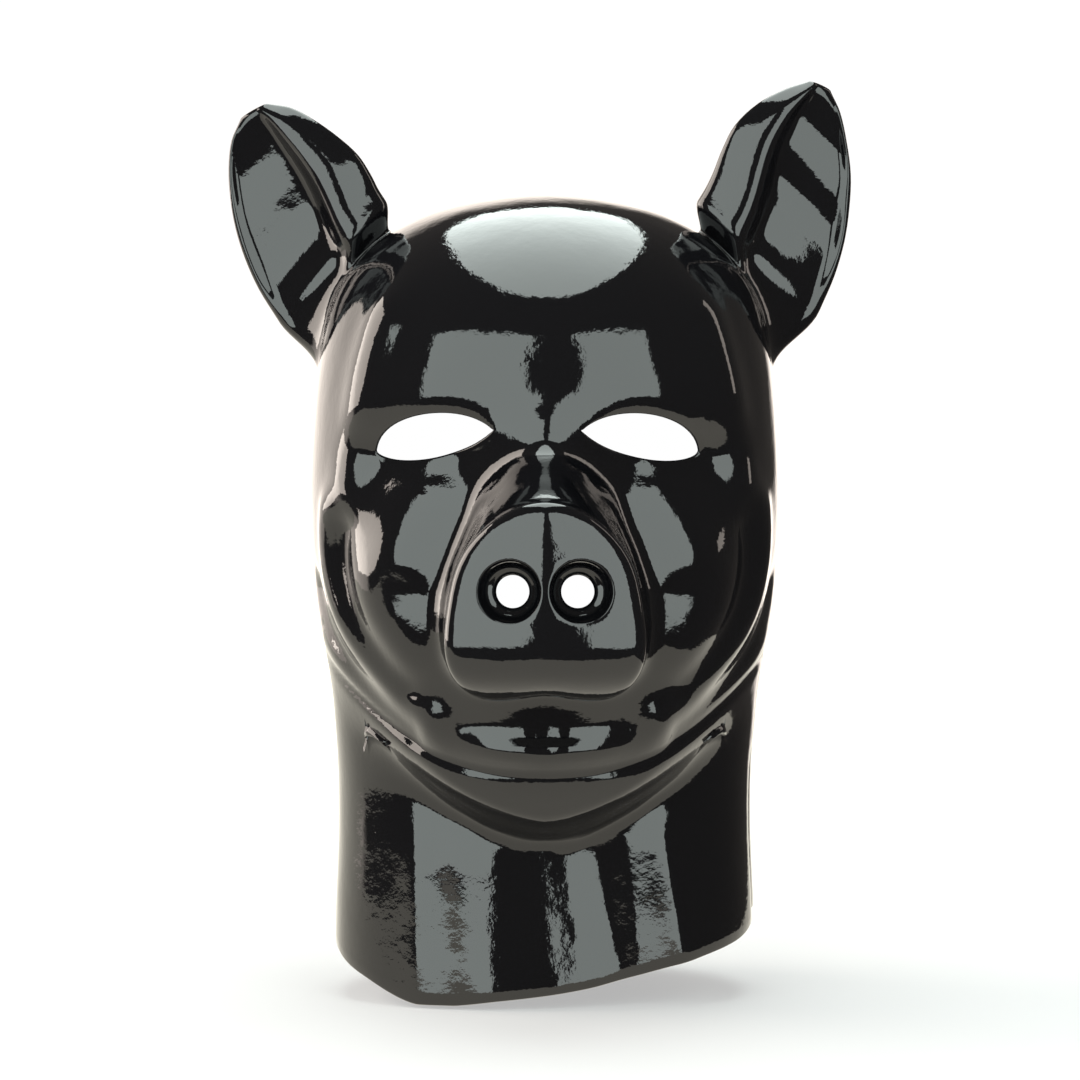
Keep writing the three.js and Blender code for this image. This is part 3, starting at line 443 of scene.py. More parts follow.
class Skin:
    """Points and four-sided cells of a surface that grows region by region."""

    def __init__(self):
        self.points = []
        self.cells = []
        self.count = 0

    def add_points(self, points):
        """Adds an array of points and returns their numbers in the same layout."""
        points = np.asarray(points, float)
        numbers = self.count + np.arange(points[..., 0].size).reshape(points.shape[:-1])
        self.points.append(points.reshape(-1, 3))
        self.count += numbers.size
        return numbers

    def add_cells(self, grid, keep=None, flip=False):
        """Adds the cells between the neighbours of a grid of point numbers, where keep is true."""
        corners = np.stack([grid[:-1, :-1], grid[1:, :-1], grid[1:, 1:], grid[:-1, 1:]], axis=-1)
        corners = corners.reshape(-1, 4) if keep is None else corners[keep]
        self.cells.append(corners[:, ::-1] if flip else corners)

    def add_rings(self, first, rings, flip):
        """Adds rings of points after a first ring of point numbers, and returns the last ring's numbers."""
        grid = np.vstack([first[None], self.add_points(rings)])
        self.add_cells(np.hstack([grid, grid[:, :1]]).T, flip=flip)
        return grid[-1]

    def arrays(self):
        """All points and all cells, each as one array."""
        return np.concatenate(self.points), np.concatenate(self.cells)


def scaled(block, fineness, side=1):
    """A block's columns and rows at a fineness, on the wearer's left or mirrored to the right."""
    start, end, low, high = block
    return side * start * fineness, side * end * fineness, low * fineness, high * fineness


def block_loop(block):
    """The border of a block as columns and rows, from the middle of its first side upwards."""
    start, end, low, high = block
    step = 1 if end > start else -1
    middle = (low + high) // 2
    columns = np.concatenate([
        np.full(high - middle, start), np.arange(start, end, step), np.full(high - low, end),
        np.arange(end, start, -step), np.full(middle - low, start)])
    rows = np.concatenate([
        np.arange(middle, high), np.full(abs(end - start), high), np.arange(high, low, -1),
        np.full(abs(end - start), low), np.arange(low, middle)])
    return columns, rows


def gaps(fineness):
    """The blocks that are left out of the head's net, from low to high and counted from its first column."""
    half = HALF_COLUMNS * fineness
    for block in (EYE_BLOCK, EAR_BLOCK, SNOUT_BLOCK):
        for side in (-1, 1):
            start, end, low, high = scaled(block, fineness, side)
            yield min(start, end) + half, max(start, end) + half, low, high


def ring_shares(rings):
    """Shares of the way at which a number of rings stand, each split by FINENESS."""
    return np.arange(1, rings * FINENESS + 1) / (rings * FINENESS)


def loop_angles(count):
    """Angles of a number of points evenly round a full turn."""
    return np.arange(count) / count * 2 * math.pi


def relax(field, held, steps, turn=None):
    """Moves every free place to the mean of its four neighbours, over and over. turn is what a full round
    adds to the first value of a net that closes on itself, and a net without it has held borders."""
    for _ in range(steps):
        before, after = np.roll(field, 1, axis=0), np.roll(field, -1, axis=0)
        if turn:
            before[0, :, 0] -= turn
            after[-1, :, 0] += turn
        mean = (before + after + np.roll(field, 1, axis=1) + np.roll(field, -1, axis=1)) / 4
        field = np.where(held[..., None], field, mean)
    return field


def refined(field, turn):
    """A net of places with a new one halfway between each pair, closing on itself along the columns."""
    after = np.roll(field, -1, axis=0)
    after[-1, :, 0] += turn
    wide = np.stack([field, (field + after) / 2], axis=1).reshape(-1, *field.shape[1:])
    fine = np.empty((wide.shape[0], 2 * wide.shape[1] - 1, 2))
    fine[:, ::2] = wide
    fine[:, 1::2] = (wide[:, 1:] + wide[:, :-1]) / 2
    return fine


def across_net(columns, fineness, values):
    """Reads a value at each column from four: in the middle of the face, where the front ends, where the
    side ends, and in the middle of the back."""
    marks = np.array([0, FRONT_COLUMNS, FRONT_COLUMNS + SIDE_COLUMNS, HALF_COLUMNS]) * fineness
    return np.interp(np.abs(columns), marks, values)


def column_bearing(columns, fineness):
    """Bearing at which a column leaves the rim, even within the front, the sides and the back."""
    return np.sign(columns) * across_net(columns, fineness, [0, FRONT_SPAN, SIDE_SPAN, 180])


def cap_place(across, forward):
    """Bearing and rise of a point of the square cap: the square is pressed into a disc by
    x = a sqrt(1 - f^2 / 2) and y = f sqrt(1 - a^2 / 2)."""
    x = across * np.sqrt(1 - forward ** 2 / 2)
    y = forward * np.sqrt(1 - across ** 2 / 2)
    return np.stack([np.degrees(np.arctan2(x, y)), 1 - np.hypot(x, y) * (1 - CAP_RISE)], axis=-1)


def cap_border(columns, fineness):
    """Across and forward of the cap's border point that each column ends at."""
    across = np.where(columns < 0, -1, 1) * across_net(columns, fineness, [0, 1, 1, 0])
    return across, across_net(columns, fineness, [1, 1, -1, -1])


def eye_outline(size, count):
    """x and height of points round an eye opening from its inner corner, over the upper lid and back."""
    t = np.arange(count) / count * 2
    across, up = (
        np.where(t < 1, cubic(UPPER_LID[name], t % 1), cubic(LOWER_LID[name], t % 1))
        for name in ("across", "up"))
    return size.eye_inner + across * size.eye_width, size.eye_level + up * size.eye_height


# The head

# Each ear: its side, its splay from upright in degrees, and the slow waves pressed into its front. wave is
# their length as a share of the ear's length, wave_height half their height as a share of its width, and
# phase shifts them along it, in radians.
EARS = (
    {"side": 1, "length": "ear_length_left", "splay": 23.2, "outer": "outer_left", "inner": "inner_left",
     "wave": 0.34, "wave_height": 0.014, "phase": 1.0},
    {"side": -1, "length": "ear_length_right", "splay": 29.5, "outer": "outer_right", "inner": "inner_right",
     "wave": 0.5, "wave_height": 0.008, "phase": -0.6},
)

# The foot's bearing and rise, how far an ear faces to its side in degrees, and the two pulls of its root's
# curves, as shares of their span
EAR_FOOT_TURN = 90
EAR_FOOT_RISE = 0.745
EAR_FACING = 10
EAR_PULLS = (0.35, 0.35)

# Places across an ear run from -1 at its inner edge to 1 at its outer one. Its front is pressed flat within
# the fades of EAR_PLATE, and rolled forwards by EAR_ROLL of its thickness within those of EAR_ROLLED. The
# waves slant by EAR_WAVE_SLANT radians, and the tip's strip rises by a share of the ear's length.
EAR_PLATE = ((-0.42, -0.12), (0.8, 1.0))
EAR_ROLLED = ((-0.95, -0.6), (-0.5, -0.2))
EAR_ROLL = 0.25
EAR_WAVE_SLANT = 2.4
EAR_TIP_RISE = 0.015

# The rise that one crown height makes up beside the ears, and the share of the way to a root's middle at
# which the skin's direction is read
RISE_PER_HEIGHT = 0.84
INWARD_STEP = 0.04


def held_places(size, fineness):
    """The head's net of places at a fineness: bearing and rise of each, and which are held."""
    half = HALF_COLUMNS * fineness
    columns = np.arange(-half, half)
    rows = np.arange(ROWS * fineness + 1)
    bearings = column_bearing(columns, fineness)
    rim = rise_at(size, size.rim_rise * column_at(RIM_CUT, "bearing", "lift", bearings))
    places = np.empty((len(columns), len(rows), 2))
    places[..., 0] = bearings[:, None]
    places[..., 1] = rim[:, None] + (CAP_RISE - rim)[:, None] * rows / rows[-1]
    held = np.zeros(places.shape[:2], bool)

    def hold(at, row, bearing, rise):
        places[at + half, row] = np.stack([bearing, rise], axis=-1)
        held[at + half, row] = True

    hold(columns, 0, bearings, rim)
    cap = cap_place(*cap_border(columns, fineness))
    cap[0, 0] = -180
    hold(columns, rows[-1], cap[:, 0], cap[:, 1])
    for reach, row, line in ((JAW_REACH, JAW_ROW, jaw_height), (MOUTH_REACH, MOUTH_ROW, mouth_height)):
        near = columns[np.abs(columns) <= reach * fineness]
        bearing = column_bearing(near, fineness)
        hold(near, row * fineness, bearing, rise_at(size, line(size, bearing)))
    for side in (-1, 1):
        at, row = block_loop(scaled(EYE_BLOCK, fineness, side))
        x, height = eye_outline(size, len(at))
        hold(at, row, *face_place(size, side * x + size.eye_shift, height))
        at, row = block_loop(scaled(EAR_BLOCK, fineness, side))
        angle = loop_angles(len(at))
        turned = EAR_FOOT_TURN - np.degrees(size.ear_foot_depth * np.cos(angle) / (size.head_width / 2))
        foot_rise = RISE_PER_HEIGHT * size.ear_foot_half / size.crown_height
        hold(at, row, side * turned, EAR_FOOT_RISE + foot_rise * np.sin(angle))
    at, row = block_loop(scaled(SNOUT_BLOCK, fineness))
    angle = loop_angles(len(at)) - math.pi / 2
    above = np.maximum(np.cos(angle), 0)
    flare = size.snout_flare * (1 - FLARE_THINNING * above) + size.bridge_flare * above ** 4
    radius = disc_radius(size, angle) + flare
    x = radius * np.sin(angle)
    x[np.abs(x) < TINY] = TINY
    hold(at, row, *face_place(size, x, size.snout_level + radius * np.cos(angle)))
    for start, end, low, high in gaps(fineness):
        held[start + 1:end, low + 1:high] = True
    return places, held


def head_places(size):
    """The head's net, evened out coarsely first and then at each finer step."""
    fineness = 1
    places, held = held_places(size, fineness)
    field = relax(places, held, RELAX_STEPS, 360)
    while fineness < FINENESS:
        fineness *= 2
        places, held = held_places(size, fineness)
        field = relax(np.where(held[..., None], places, refined(field, 360)), held, RELAX_STEPS, 360)
    return field


def add_head(skin, size):
    """Adds the head, neck and crown, and returns the point number of every place of the net."""
    field = head_places(size)
    ids = skin.add_points(skin_point(size, field[..., 0], field[..., 1]))
    keep = np.ones((len(ids), ROWS * FINENESS), bool)
    for start, end, low, high in gaps(FINENESS):
        keep[start:end, low:high] = False
    skin.add_cells(np.vstack([ids, ids[:1]]), keep)
    add_crown(skin, size, ids[:, -1])
    return ids, field


def add_crown(skin, size, border):
    """Adds the square cap over the crown, whose border points are the net's last row."""
    across, forward = FRONT_COLUMNS * FINENESS, SIDE_COLUMNS * FINENESS // 2
    a, f = np.meshgrid(np.linspace(-1, 1, 2 * across + 1), np.linspace(-1, 1, 2 * forward + 1), indexing="ij")
    place = cap_place(a, f)
    grid = np.full(a.shape, -1)
    half = HALF_COLUMNS * FINENESS
    edge_a, edge_f = cap_border(np.arange(-half, half), FINENESS)
    grid[np.rint((edge_a + 1) * across).astype(int), np.rint((edge_f + 1) * forward).astype(int)] = border
    inside = grid < 0
    grid[inside] = skin.add_points(skin_point(size, place[inside][:, 0], place[inside][:, 1]))
    skin.add_cells(grid, flip=True)


def root_curves(size, field, at, row, middle, feet, ends, directions, pull):
    """Four control points of each curve from a foot on the head to a ring: it leaves along the skin towards
    the middle of the root and arrives along the ring's own direction."""
    places = field[at + HALF_COLUMNS * FINENESS, row]
    near = places + INWARD_STEP * (np.asarray(middle) - places)
    along = skin_point(size, near[:, 0], near[:, 1]) - feet
    along /= np.linalg.norm(along, axis=1, keepdims=True)
    span = np.linalg.norm(ends - feet, axis=1, keepdims=True)
    return feet, feet + pull[0] * span * along, ends - pull[1] * span * directions, ends


# The snout

# The crease down the disc falls away at a slope, and grows blunt between two shares of the way down. A root
# curve leaves and arrives with two pulls, as shares of its span, and the foot of the snout's wall is thinner
# above, where it runs up the nose bridge.
SNOUT_TILT = math.radians(4)
CREASE_SLOPE = 0.11
CREASE_BLUNTING = (-0.5, 0.6)
SNOUT_PULLS = (0.24, 0.45)
FLARE_THINNING = 0.5
DISC_EGG = 0.2
DISC_CORNERS = 0.05
SNOUT_OUT = np.array([0, -math.cos(SNOUT_TILT), math.sin(SNOUT_TILT)])
SNOUT_UP = np.array([0, math.sin(SNOUT_TILT), math.cos(SNOUT_TILT)])


def disc_radius(size, angle):
    """Radius of the snout's disc at an angle from its top, like an egg with its blunt end down and two
    corners there: the radius times 1 - egg cos a sin^2 a - corners (1 - cos a) cos 4a."""
    egg = DISC_EGG * np.cos(angle) * np.sin(angle) ** 2
    return size.snout_radius * (1 - egg - DISC_CORNERS * (1 - np.cos(angle)) * np.cos(4 * angle))


def disc_point(size, x, up):
    """A point of the domed disc: it falls back by dome (1 - (1 - s^4)^(1/4)), s being the share of the way
    to the edge, and by curl u^5 below its middle, u being the share of the way down. It also falls away to
    both sides of a crease down its middle, by slope (sqrt(x^2 + c^2) - c), where c grows downwards."""
    share = np.minimum(np.hypot(x, up) / disc_radius(size, np.arctan2(np.abs(x), up)), 1)
    fall = size.snout_dome * (1 - (1 - share ** 4) ** (1 / 4))
    down = up / size.snout_radius
    fall = fall + size.snout_curl * np.maximum(-down, 0) ** 5
    blunt = size.crease_sharp + size.crease_blunt * smooth(-down, *CREASE_BLUNTING)
    cleft = CREASE_SLOPE * (np.hypot(x, blunt) - blunt)
    centre = np.array([0, -size.snout_reach, size.snout_level])
    sideways = np.stack([x, np.zeros_like(x), np.zeros_like(x)], axis=-1)
    return centre + sideways + up[..., None] * SNOUT_UP - (fall + cleft)[..., None] * SNOUT_OUT


def add_snout(skin, size, ids, field):
    """Adds the wall that flows out of the face, the rolled edge of the disc, the disc and the nostrils."""
    at, row = block_loop(scaled(SNOUT_BLOCK, FINENESS))
    angle = loop_angles(len(at)) - math.pi / 2
    ring = ids[at + HALF_COLUMNS * FINENESS, row]
    feet = np.concatenate(skin.points)[ring]
    radius = disc_radius(size, angle)
    rim = disc_point(size, radius * np.sin(angle), radius * np.cos(angle))
    middle = np.array(face_place(size, np.array(TINY), np.array(size.snout_level))).T
    above = np.maximum(np.cos(angle), 0)[:, None] ** 2
    straight = (rim - feet) / np.linalg.norm(rim - feet, axis=1, keepdims=True)
    arriving = SNOUT_OUT + (straight - SNOUT_OUT) * above
    curves = root_curves(size, field, at, row, middle, feet, rim, arriving, SNOUT_PULLS)
    ring = skin.add_rings(ring, np.stack([cubic(curves, t) for t in ring_shares(SNOUT_WALL_RINGS)]), True)
    turned = np.radians(SNOUT_ROLL_END * ring_shares(SNOUT_ROLL_RINGS))
    inner = np.sqrt(np.cos(turned))[:, None] * radius
    ring = skin.add_rings(ring, disc_point(size, inner * np.sin(angle), inner * np.cos(angle)), True)
    add_disc(skin, size, ring, angle, inner[-1])


def add_disc(skin, size, ring, angle, radius):
    """Adds the flat of the disc, as an evened-out net round the two nostrils."""
    start, end, low, high = scaled(SNOUT_BLOCK, FINENESS)
    shape = (end - start + 1, high - low + 1)
    places = np.zeros((*shape, 2))
    held = np.zeros(shape, bool)
    grid = np.full(shape, -1)
    keep = np.ones((shape[0] - 1, shape[1] - 1), bool)
    at, row = block_loop((0, end - start, 0, high - low))
    places[at, row] = np.stack([radius * np.sin(angle), radius * np.cos(angle)], axis=-1)
    held[at, row] = True
    grid[at, row] = ring
    nostrils = []
    for side in (-1, 1):
        first, last, bottom, top = scaled(NOSTRIL_BLOCK, FINENESS, side)
        block = (first - start, last - start, bottom - low, top - low)
        at, row = block_loop(block)
        turn = loop_angles(len(at))
        x = side * (size.nostril_spread - size.nostril_radius * np.cos(turn))
        places[at, row] = np.stack([x, size.nostril_lift + size.nostril_radius * np.sin(turn)], axis=-1)
        left, right = min(block[:2]), max(block[:2])
        held[left:right + 1, block[2]:block[3] + 1] = True
        keep[left:right, block[2]:block[3]] = False
        nostrils.append((side, at, row))
    places = relax(places, held, DISC_RELAX_STEPS)
    new = grid < 0
    grid[new] = skin.add_points(disc_point(size, places[new][:, 0], places[new][:, 1]))
    skin.add_cells(grid, keep)
    for side, at, row in nostrils:
        add_nostril(skin, size, side, grid[at, row])


def add_nostril(skin, size, side, ring):
    """Adds the rings down a nostril, which leans a little towards the middle."""
    last = len(NOSTRIL_RINGS["ring"]) - 1
    steps = np.linspace(0, last, last * FINENESS + 1)[1:, None]
    reach = size.nostril_radius * column_at(NOSTRIL_RINGS, "ring", "radius", steps)
    depth = column_at(NOSTRIL_RINGS, "ring", "depth", steps)
    turn = loop_angles(len(ring))
    x = side * (size.nostril_spread - size.nostril_lean * depth - reach * np.cos(turn))
    lip = disc_point(size, x, size.nostril_lift + reach * np.sin(turn))
    skin.add_rings(ring, lip - (depth * size.nostril_depth)[..., None] * SNOUT_OUT, side > 0)


# The ears

def ear_rings(size, ear, centre, along, outward, forward, reaches, angle):
    """Rings of an ear: an oval, half-width sin a across and half-thickness cos a forwards. Its front is
    pressed flat from the outer edge to a fold, with slow waves in it, and the inner edge beyond the fold
    is rolled forwards."""
    def read(name):
        return column_at(EAR_SECTIONS, "along", name, reaches)[:, None]

    outer, inner = read(ear["outer"]), read(ear["inner"])
    across = -np.sin(angle)
    facing = np.maximum(np.cos(angle), 0)
    plate = read("press") * band(across, *EAR_PLATE)
    roll = EAR_ROLL * band(across, *EAR_ROLLED)
    front = read("thick") * (np.minimum(np.cos(angle), 0) + facing * (1 - plate + roll))
    turns = reaches[:, None] / ear["wave"]
    wave = np.sin(2 * math.pi * turns + EAR_WAVE_SLANT * across + ear["phase"])
    front = front + ear["wave_height"] * plate * np.sign(facing) * wave
    sideways = (outer - inner) / 2 + (outer + inner) / 2 * across
    reach = (reaches[:, None] - read("slant") * across) * getattr(size, ear["length"])
    return (centre + reach[..., None] * along + size.ear_width * sideways[..., None] * outward
            + size.ear_width * front[..., None] * forward)


def add_ear(skin, size, ear, ids, field):
    """Adds one ear: a root that flows out of the head, sections up to the tip, and the tip."""
    side = ear["side"]
    block = scaled(EAR_BLOCK, FINENESS, side)
    at, row = block_loop(block)
    angle = loop_angles(len(at))
    middle = (side * EAR_FOOT_TURN, EAR_FOOT_RISE)
    centre = skin_point(size, *middle) - np.array([side * size.ear_sink, 0, 0])
    splay, facing = math.radians(ear["splay"]), math.radians(EAR_FACING)
    along = np.array([side * math.sin(splay), 0, math.cos(splay)])
    level = np.array([side * math.cos(splay), 0, -math.sin(splay)])
    outward = level * math.cos(facing) + side * np.cross(along, level) * math.sin(facing)
    forward = side * np.cross(outward, along)
    table_steps = EAR_SECTIONS["along"]
    knots = np.arange(len(table_steps))
    reaches = np.interp(np.linspace(0, knots[-1], knots[-1] * FINENESS + 1), knots, table_steps)
    rings = ear_rings(size, ear, centre, along, outward, forward, reaches, angle)
    ring = ids[at + HALF_COLUMNS * FINENESS, row]
    feet = np.concatenate(skin.points)[ring]
    curves = root_curves(size, field, at, row, middle, feet, rings[0], along, EAR_PULLS)
    roots = np.stack([cubic(curves, t) for t in ring_shares(EAR_ROOT_RINGS)])
    ring = skin.add_rings(ring, roots, side > 0)
    ring = skin.add_rings(ring, rings[1:], side > 0)
    close_tip(skin, block, ring, along * getattr(size, ear["length"]), side)


def close_tip(skin, block, ring, along, side):
    """Adds the strip over an ear's last ring: straight lines from its front to its back, raised by
    4 t (1 - t) of a small height that dies away at both ends as the root of a sine."""
    width, height = abs(block[1] - block[0]), block[3] - block[2]
    at, row = block_loop((0, width, 0, height))
    points = np.concatenate(skin.points)
    grid = np.full((width + 1, height + 1), -1)
    grid[at, row] = ring
    front, back = points[grid[0]], points[grid[-1]]
    t = np.linspace(0, 1, width + 1)[1:-1, None, None]
    fade = np.sqrt(np.sin(np.linspace(0, math.pi, height + 1)))[None, :, None]
    inside = front + (back - front) * t + 4 * t * (1 - t) * EAR_TIP_RISE * fade * along
    grid[1:-1, 1:-1] = skin.add_points(inside[:, 1:-1])
    skin.add_cells(grid, flip=side < 0)


# The wall

def point_normals(points, cells):
    """Unit normals: the sum, over the cells round a point, of the cross product of their diagonals."""
    a, b, c, d = (points[cells[:, k]] for k in range(4))
    across = np.cross(c - a, d - b)
    normals = np.zeros_like(points)
    for k in range(4):
        np.add.at(normals, cells[:, k], across)
    lengths = np.linalg.norm(normals, axis=1, keepdims=True)
    return normals / np.maximum(lengths, TINY ** 2)


def thickened(points, cells, wall):
    """The skin with its wall: a second skin inside the first, joined along every open edge by a lip that
    is half round, out by sin and in by 1 - cos of half the wall."""
    normals = point_normals(points, cells)
    count = len(points)
    pairs = np.concatenate([np.stack([cells[:, k], cells[:, (k + 1) % 4]], axis=1) for k in range(4)])
    coded = pairs[:, 0] * count + pairs[:, 1]
    backwards = pairs[:, 1] * count + pairs[:, 0]
    open_edges = pairs[~np.isin(coded, backwards)]
    edge = np.zeros_like(points)
    step = points[open_edges[:, 1]] - points[open_edges[:, 0]]
    np.add.at(edge, open_edges[:, 0], step)
    np.add.at(edge, open_edges[:, 1], step)
    border = np.unique(open_edges)
    outwards = np.cross(edge[border], normals[border])
    outwards /= np.linalg.norm(outwards, axis=1, keepdims=True)
    layers = [points[border]]
    for turn in np.linspace(0, math.pi, LIP_RINGS + 2)[1:-1]:
        sink = wall / 2 * (1 - math.cos(turn))
        layers.append(points[border] + wall / 2 * math.sin(turn) * outwards - sink * normals[border])
    all_points = np.concatenate([points, points - wall * normals, *layers[1:]])
    place = np.full(count, -1)
    place[border] = np.arange(len(border))
    start, end = place[open_edges[:, 0]], place[open_edges[:, 1]]
    between = 2 * count + np.arange(LIP_RINGS * len(border)).reshape(LIP_RINGS, -1)
    numbers = [border, *between, border + count]
    lip = [
        np.stack([upper[end], upper[start], lower[start], lower[end]], axis=1)
        for upper, lower in zip(numbers[:-1], numbers[1:])]
    return all_points, np.concatenate([cells, cells[:, ::-1] + count, *lip])


def used_only(points, cells):
    """The points that a cell uses, and the cells renumbered to match."""
    used, renumbered = np.unique(cells, return_inverse=True)
    return points[used], renumbered.reshape(cells.shape)


def mesh_object(name, points, cells):
    """A smooth-shaded mesh object at the origin, from arrays of points and four-sided cells."""
    mesh = bpy.data.meshes.new(name)
    mesh.vertices.add(len(points))
    mesh.vertices.foreach_set("co", points.astype(np.float32).ravel())
    mesh.loops.add(cells.size)
    mesh.loops.foreach_set("vertex_index", cells.astype(np.int32).ravel())
    mesh.polygons.add(len(cells))
    mesh.polygons.foreach_set("loop_start", np.arange(0, cells.size, 4, dtype=np.int32))
    mesh.polygons.foreach_set("use_smooth", np.ones(len(cells), bool))
    mesh.update(calc_edges=True)
    mesh.validate()
    piece = bpy.data.objects.new(name, mesh)
    bpy.context.scene.collection.objects.link(piece)
    return piece


# Materials

# The latex's gloss, and the noise in its slow waves and in its small ones
LATEX_ROUGHNESS = 0.035
LATEX_IOR = 1.52
SWELL_NOISE = {"Detail": 1.0, "Roughness": 0.4}
RIPPLE_NOISE = {"Detail": 3.0, "Roughness": 0.55}


def add_node(tree, kind, links=(), **settings):
    """Adds a node, sets its sockets and properties by name, and makes links of (socket, source output)."""
    node = tree.nodes.new(kind)
    for name, value in settings.items():
        if hasattr(node, name):
            setattr(node, name, value)
        else:
            node.inputs[name.replace("_", " ")].default_value = value
    for socket, source in links:
        tree.links.new(source, node.inputs[socket])
    return node


def latex_material(finish):
    """Dipped latex rubber, polished with silicone: a jet-black body under a wet-looking gloss, whose
    mirror images have torn edges, because the dipped skin keeps small waves and is stretched unevenly."""
    material = bpy.data.materials.new("polished_dipped_latex")
    material.use_nodes = True
    tree = material.node_tree
    shader = tree.nodes["Principled BSDF"]
    shader.inputs["Base Color"].default_value = (*finish.black, 1)
    shader.inputs["Roughness"].default_value = LATEX_ROUGHNESS
    shader.inputs["IOR"].default_value = LATEX_IOR
    place = add_node(tree, "ShaderNodeTexCoord").outputs["Object"]
    under = []
    for spacing, height, noise in (
            (finish.swell, finish.swell_height, SWELL_NOISE),
            (finish.ripple, finish.ripple_height, RIPPLE_NOISE)):
        waves = add_node(tree, "ShaderNodeTexNoise", [("Vector", place)], Scale=1 / spacing, **noise)
        bump = add_node(
            tree, "ShaderNodeBump", [("Height", waves.outputs["Fac"]), *under], Strength=1.0,
            Distance=height)
        under = [("Normal", bump.outputs["Normal"])]
    tree.links.new(bump.outputs["Normal"], shader.inputs["Normal"])
    return material


class HOOD_OT_skin(bpy.types.Operator):
    """Makes the hood: one continuous skin with its wall, cut-outs and gloss"""

    bl_idname = "hood.skin"
    bl_label = "Hood Skin"

    def execute(self, context):
        size = context.scene.hood_sizes
        skin = Skin()
        ids, field = add_head(skin, size)
        add_snout(skin, size, ids, field)
        for ear in EARS:
            add_ear(skin, size, ear, ids, field)
        points, cells = thickened(*used_only(*skin.arrays()), size.wall)
        points[:, 2] += size.wall - size.crown_height
        hood = mesh_object("latex_hood", points, cells)
        hood.data.materials.append(latex_material(context.scene.hood_finish))
        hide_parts("hood")
        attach(hood, "root")
        return {"FINISHED"}


# The studio

RIGHT, BACK, UP = np.eye(3)

# Soft boxes, left and right as the camera sees them: the tint of each, the bearing and elevation of its
# middle, as seen from the hood, its width and height as angles, all in degrees, and its radiance
SoftBox = namedtuple("SoftBox", "name tint bearing elevation width height radiance")
SOFT_BOXES = [SoftBox(*row) for row in [
    ("left", "cool", -29, 15.5, 46, 49, 4.1),
    ("right", "cool", 29, 15.5, 34, 49, 3.9),
    ("side", "warm", -103, 20, 42, 48, 6.2),
    ("edge", "warm", 102, 28, 10, 44, 2.6),
]]
SOFT_BOX_DISTANCE = 1.5

# The oval soft box overhead, in metres from the crown
OVERHEAD = {"behind": 0.6, "above": 1.0, "width": 0.87, "depth": 2.35, "radiance": 4.6}

# The backdrop in the gloss: the direction of its middle, its edge as angles from there, in degrees, its
# radiance, and that of the rest of the room. PAPER_STRENGTH is the white that the camera sees instead.
BACKDROP = {"bearing": -152, "elevation": -24, "full": 46, "none": 56, "radiance": 2.2, "dark": 0.1}
PAPER_STRENGTH = 1.05

# The floor's own glow grows from dim to full between two distances from the hood, in metres, which paints
# shade round the hood and leaves room for its real shadow. The matt paper under the glow is grey.
FLOOR = {"half": 6.0, "near": 0.1, "far": 1.0, "dim": 0.27, "full": 1.0, "grey": 0.32}

# The lit part of the floor that the gloss sees: its middle and half sides in metres, and its radiance
FLOOR_GLOW = {"side": -0.3, "back": 0.35, "half_width": 0.6, "half_depth": 0.75, "radiance": 1.35}

# The glowing white card inside, painted light that shows white through the openings: shares of the head's
# front and width, and lengths in millimetres
CARD = {"front": 0.6, "width": 0.74, "half_height": 44, "below_eyes": 28}

# The end of the camera's view, in metres
VIEW_END = 20


def emission_material(name, colour_linear, strength, front_only=False):
    """A surface that glows by itself, on its front only where asked."""
    material = bpy.data.materials.new(name)
    material.use_nodes = True
    tree = material.node_tree
    tree.nodes.clear()
    glow = add_node(tree, "ShaderNodeEmission", Color=(*colour_linear, 1), Strength=strength)
    shown = glow.outputs["Emission"]
    if front_only:
        clear = add_node(tree, "ShaderNodeBsdfTransparent")
        side = add_node(tree, "ShaderNodeNewGeometry")
        mixed = add_node(tree, "ShaderNodeMixShader", [(0, side.outputs["Backfacing"]), (1, shown),
                                                       (2, clear.outputs["BSDF"])])
        shown = mixed.outputs["Shader"]
    add_node(tree, "ShaderNodeOutputMaterial", [("Surface", shown)])
    return material


def flat_panel(name, centre, right, up, material):
    """A flat four-sided panel given by its centre and its half sides."""
    corners = [centre - right - up, centre + right - up, centre + right + up, centre - right + up]
    panel = mesh_object(name, np.array(corners), np.array([[0, 1, 2, 3]]))
    panel.data.materials.append(material)
    return panel


def studio_world(studio):
    """Light from all round: white for the camera, and in the gloss a bright backdrop behind the hood and
    to its left, with the rest of the room dark."""
    world = bpy.data.worlds.new("studio")
    world.use_nodes = True
    tree = world.node_tree
    tree.nodes.clear()
    direction = add_node(tree, "ShaderNodeTexCoord").outputs["Generated"]
    middle = add_node(tree, "ShaderNodeVectorMath", operation="DOT_PRODUCT")
    middle.inputs[1].default_value = sky_direction(BACKDROP["bearing"], BACKDROP["elevation"])
    tree.links.new(direction, middle.inputs[0])
    edge = [math.cos(math.radians(BACKDROP[name])) for name in ("none", "full")]
    lit = add_node(
        tree, "ShaderNodeMapRange", [("Value", middle.outputs["Value"])], interpolation_type="SMOOTHSTEP",
        From_Min=edge[0], From_Max=edge[1], To_Min=BACKDROP["dark"], To_Max=BACKDROP["radiance"])
    around = add_node(
        tree, "ShaderNodeBackground", [("Strength", lit.outputs["Result"])], Color=(*studio.warm, 1))
    paper = add_node(tree, "ShaderNodeBackground", Color=(*studio.paper, 1), Strength=PAPER_STRENGTH)
    path = add_node(tree, "ShaderNodeLightPath")
    mixed = add_node(
        tree, "ShaderNodeMixShader", [
            (0, path.outputs["Is Camera Ray"]), (1, around.outputs["Background"]),
            (2, paper.outputs["Background"])])
    add_node(tree, "ShaderNodeOutputWorld", [("Surface", mixed.outputs["Shader"])])
    bpy.context.scene.world = world


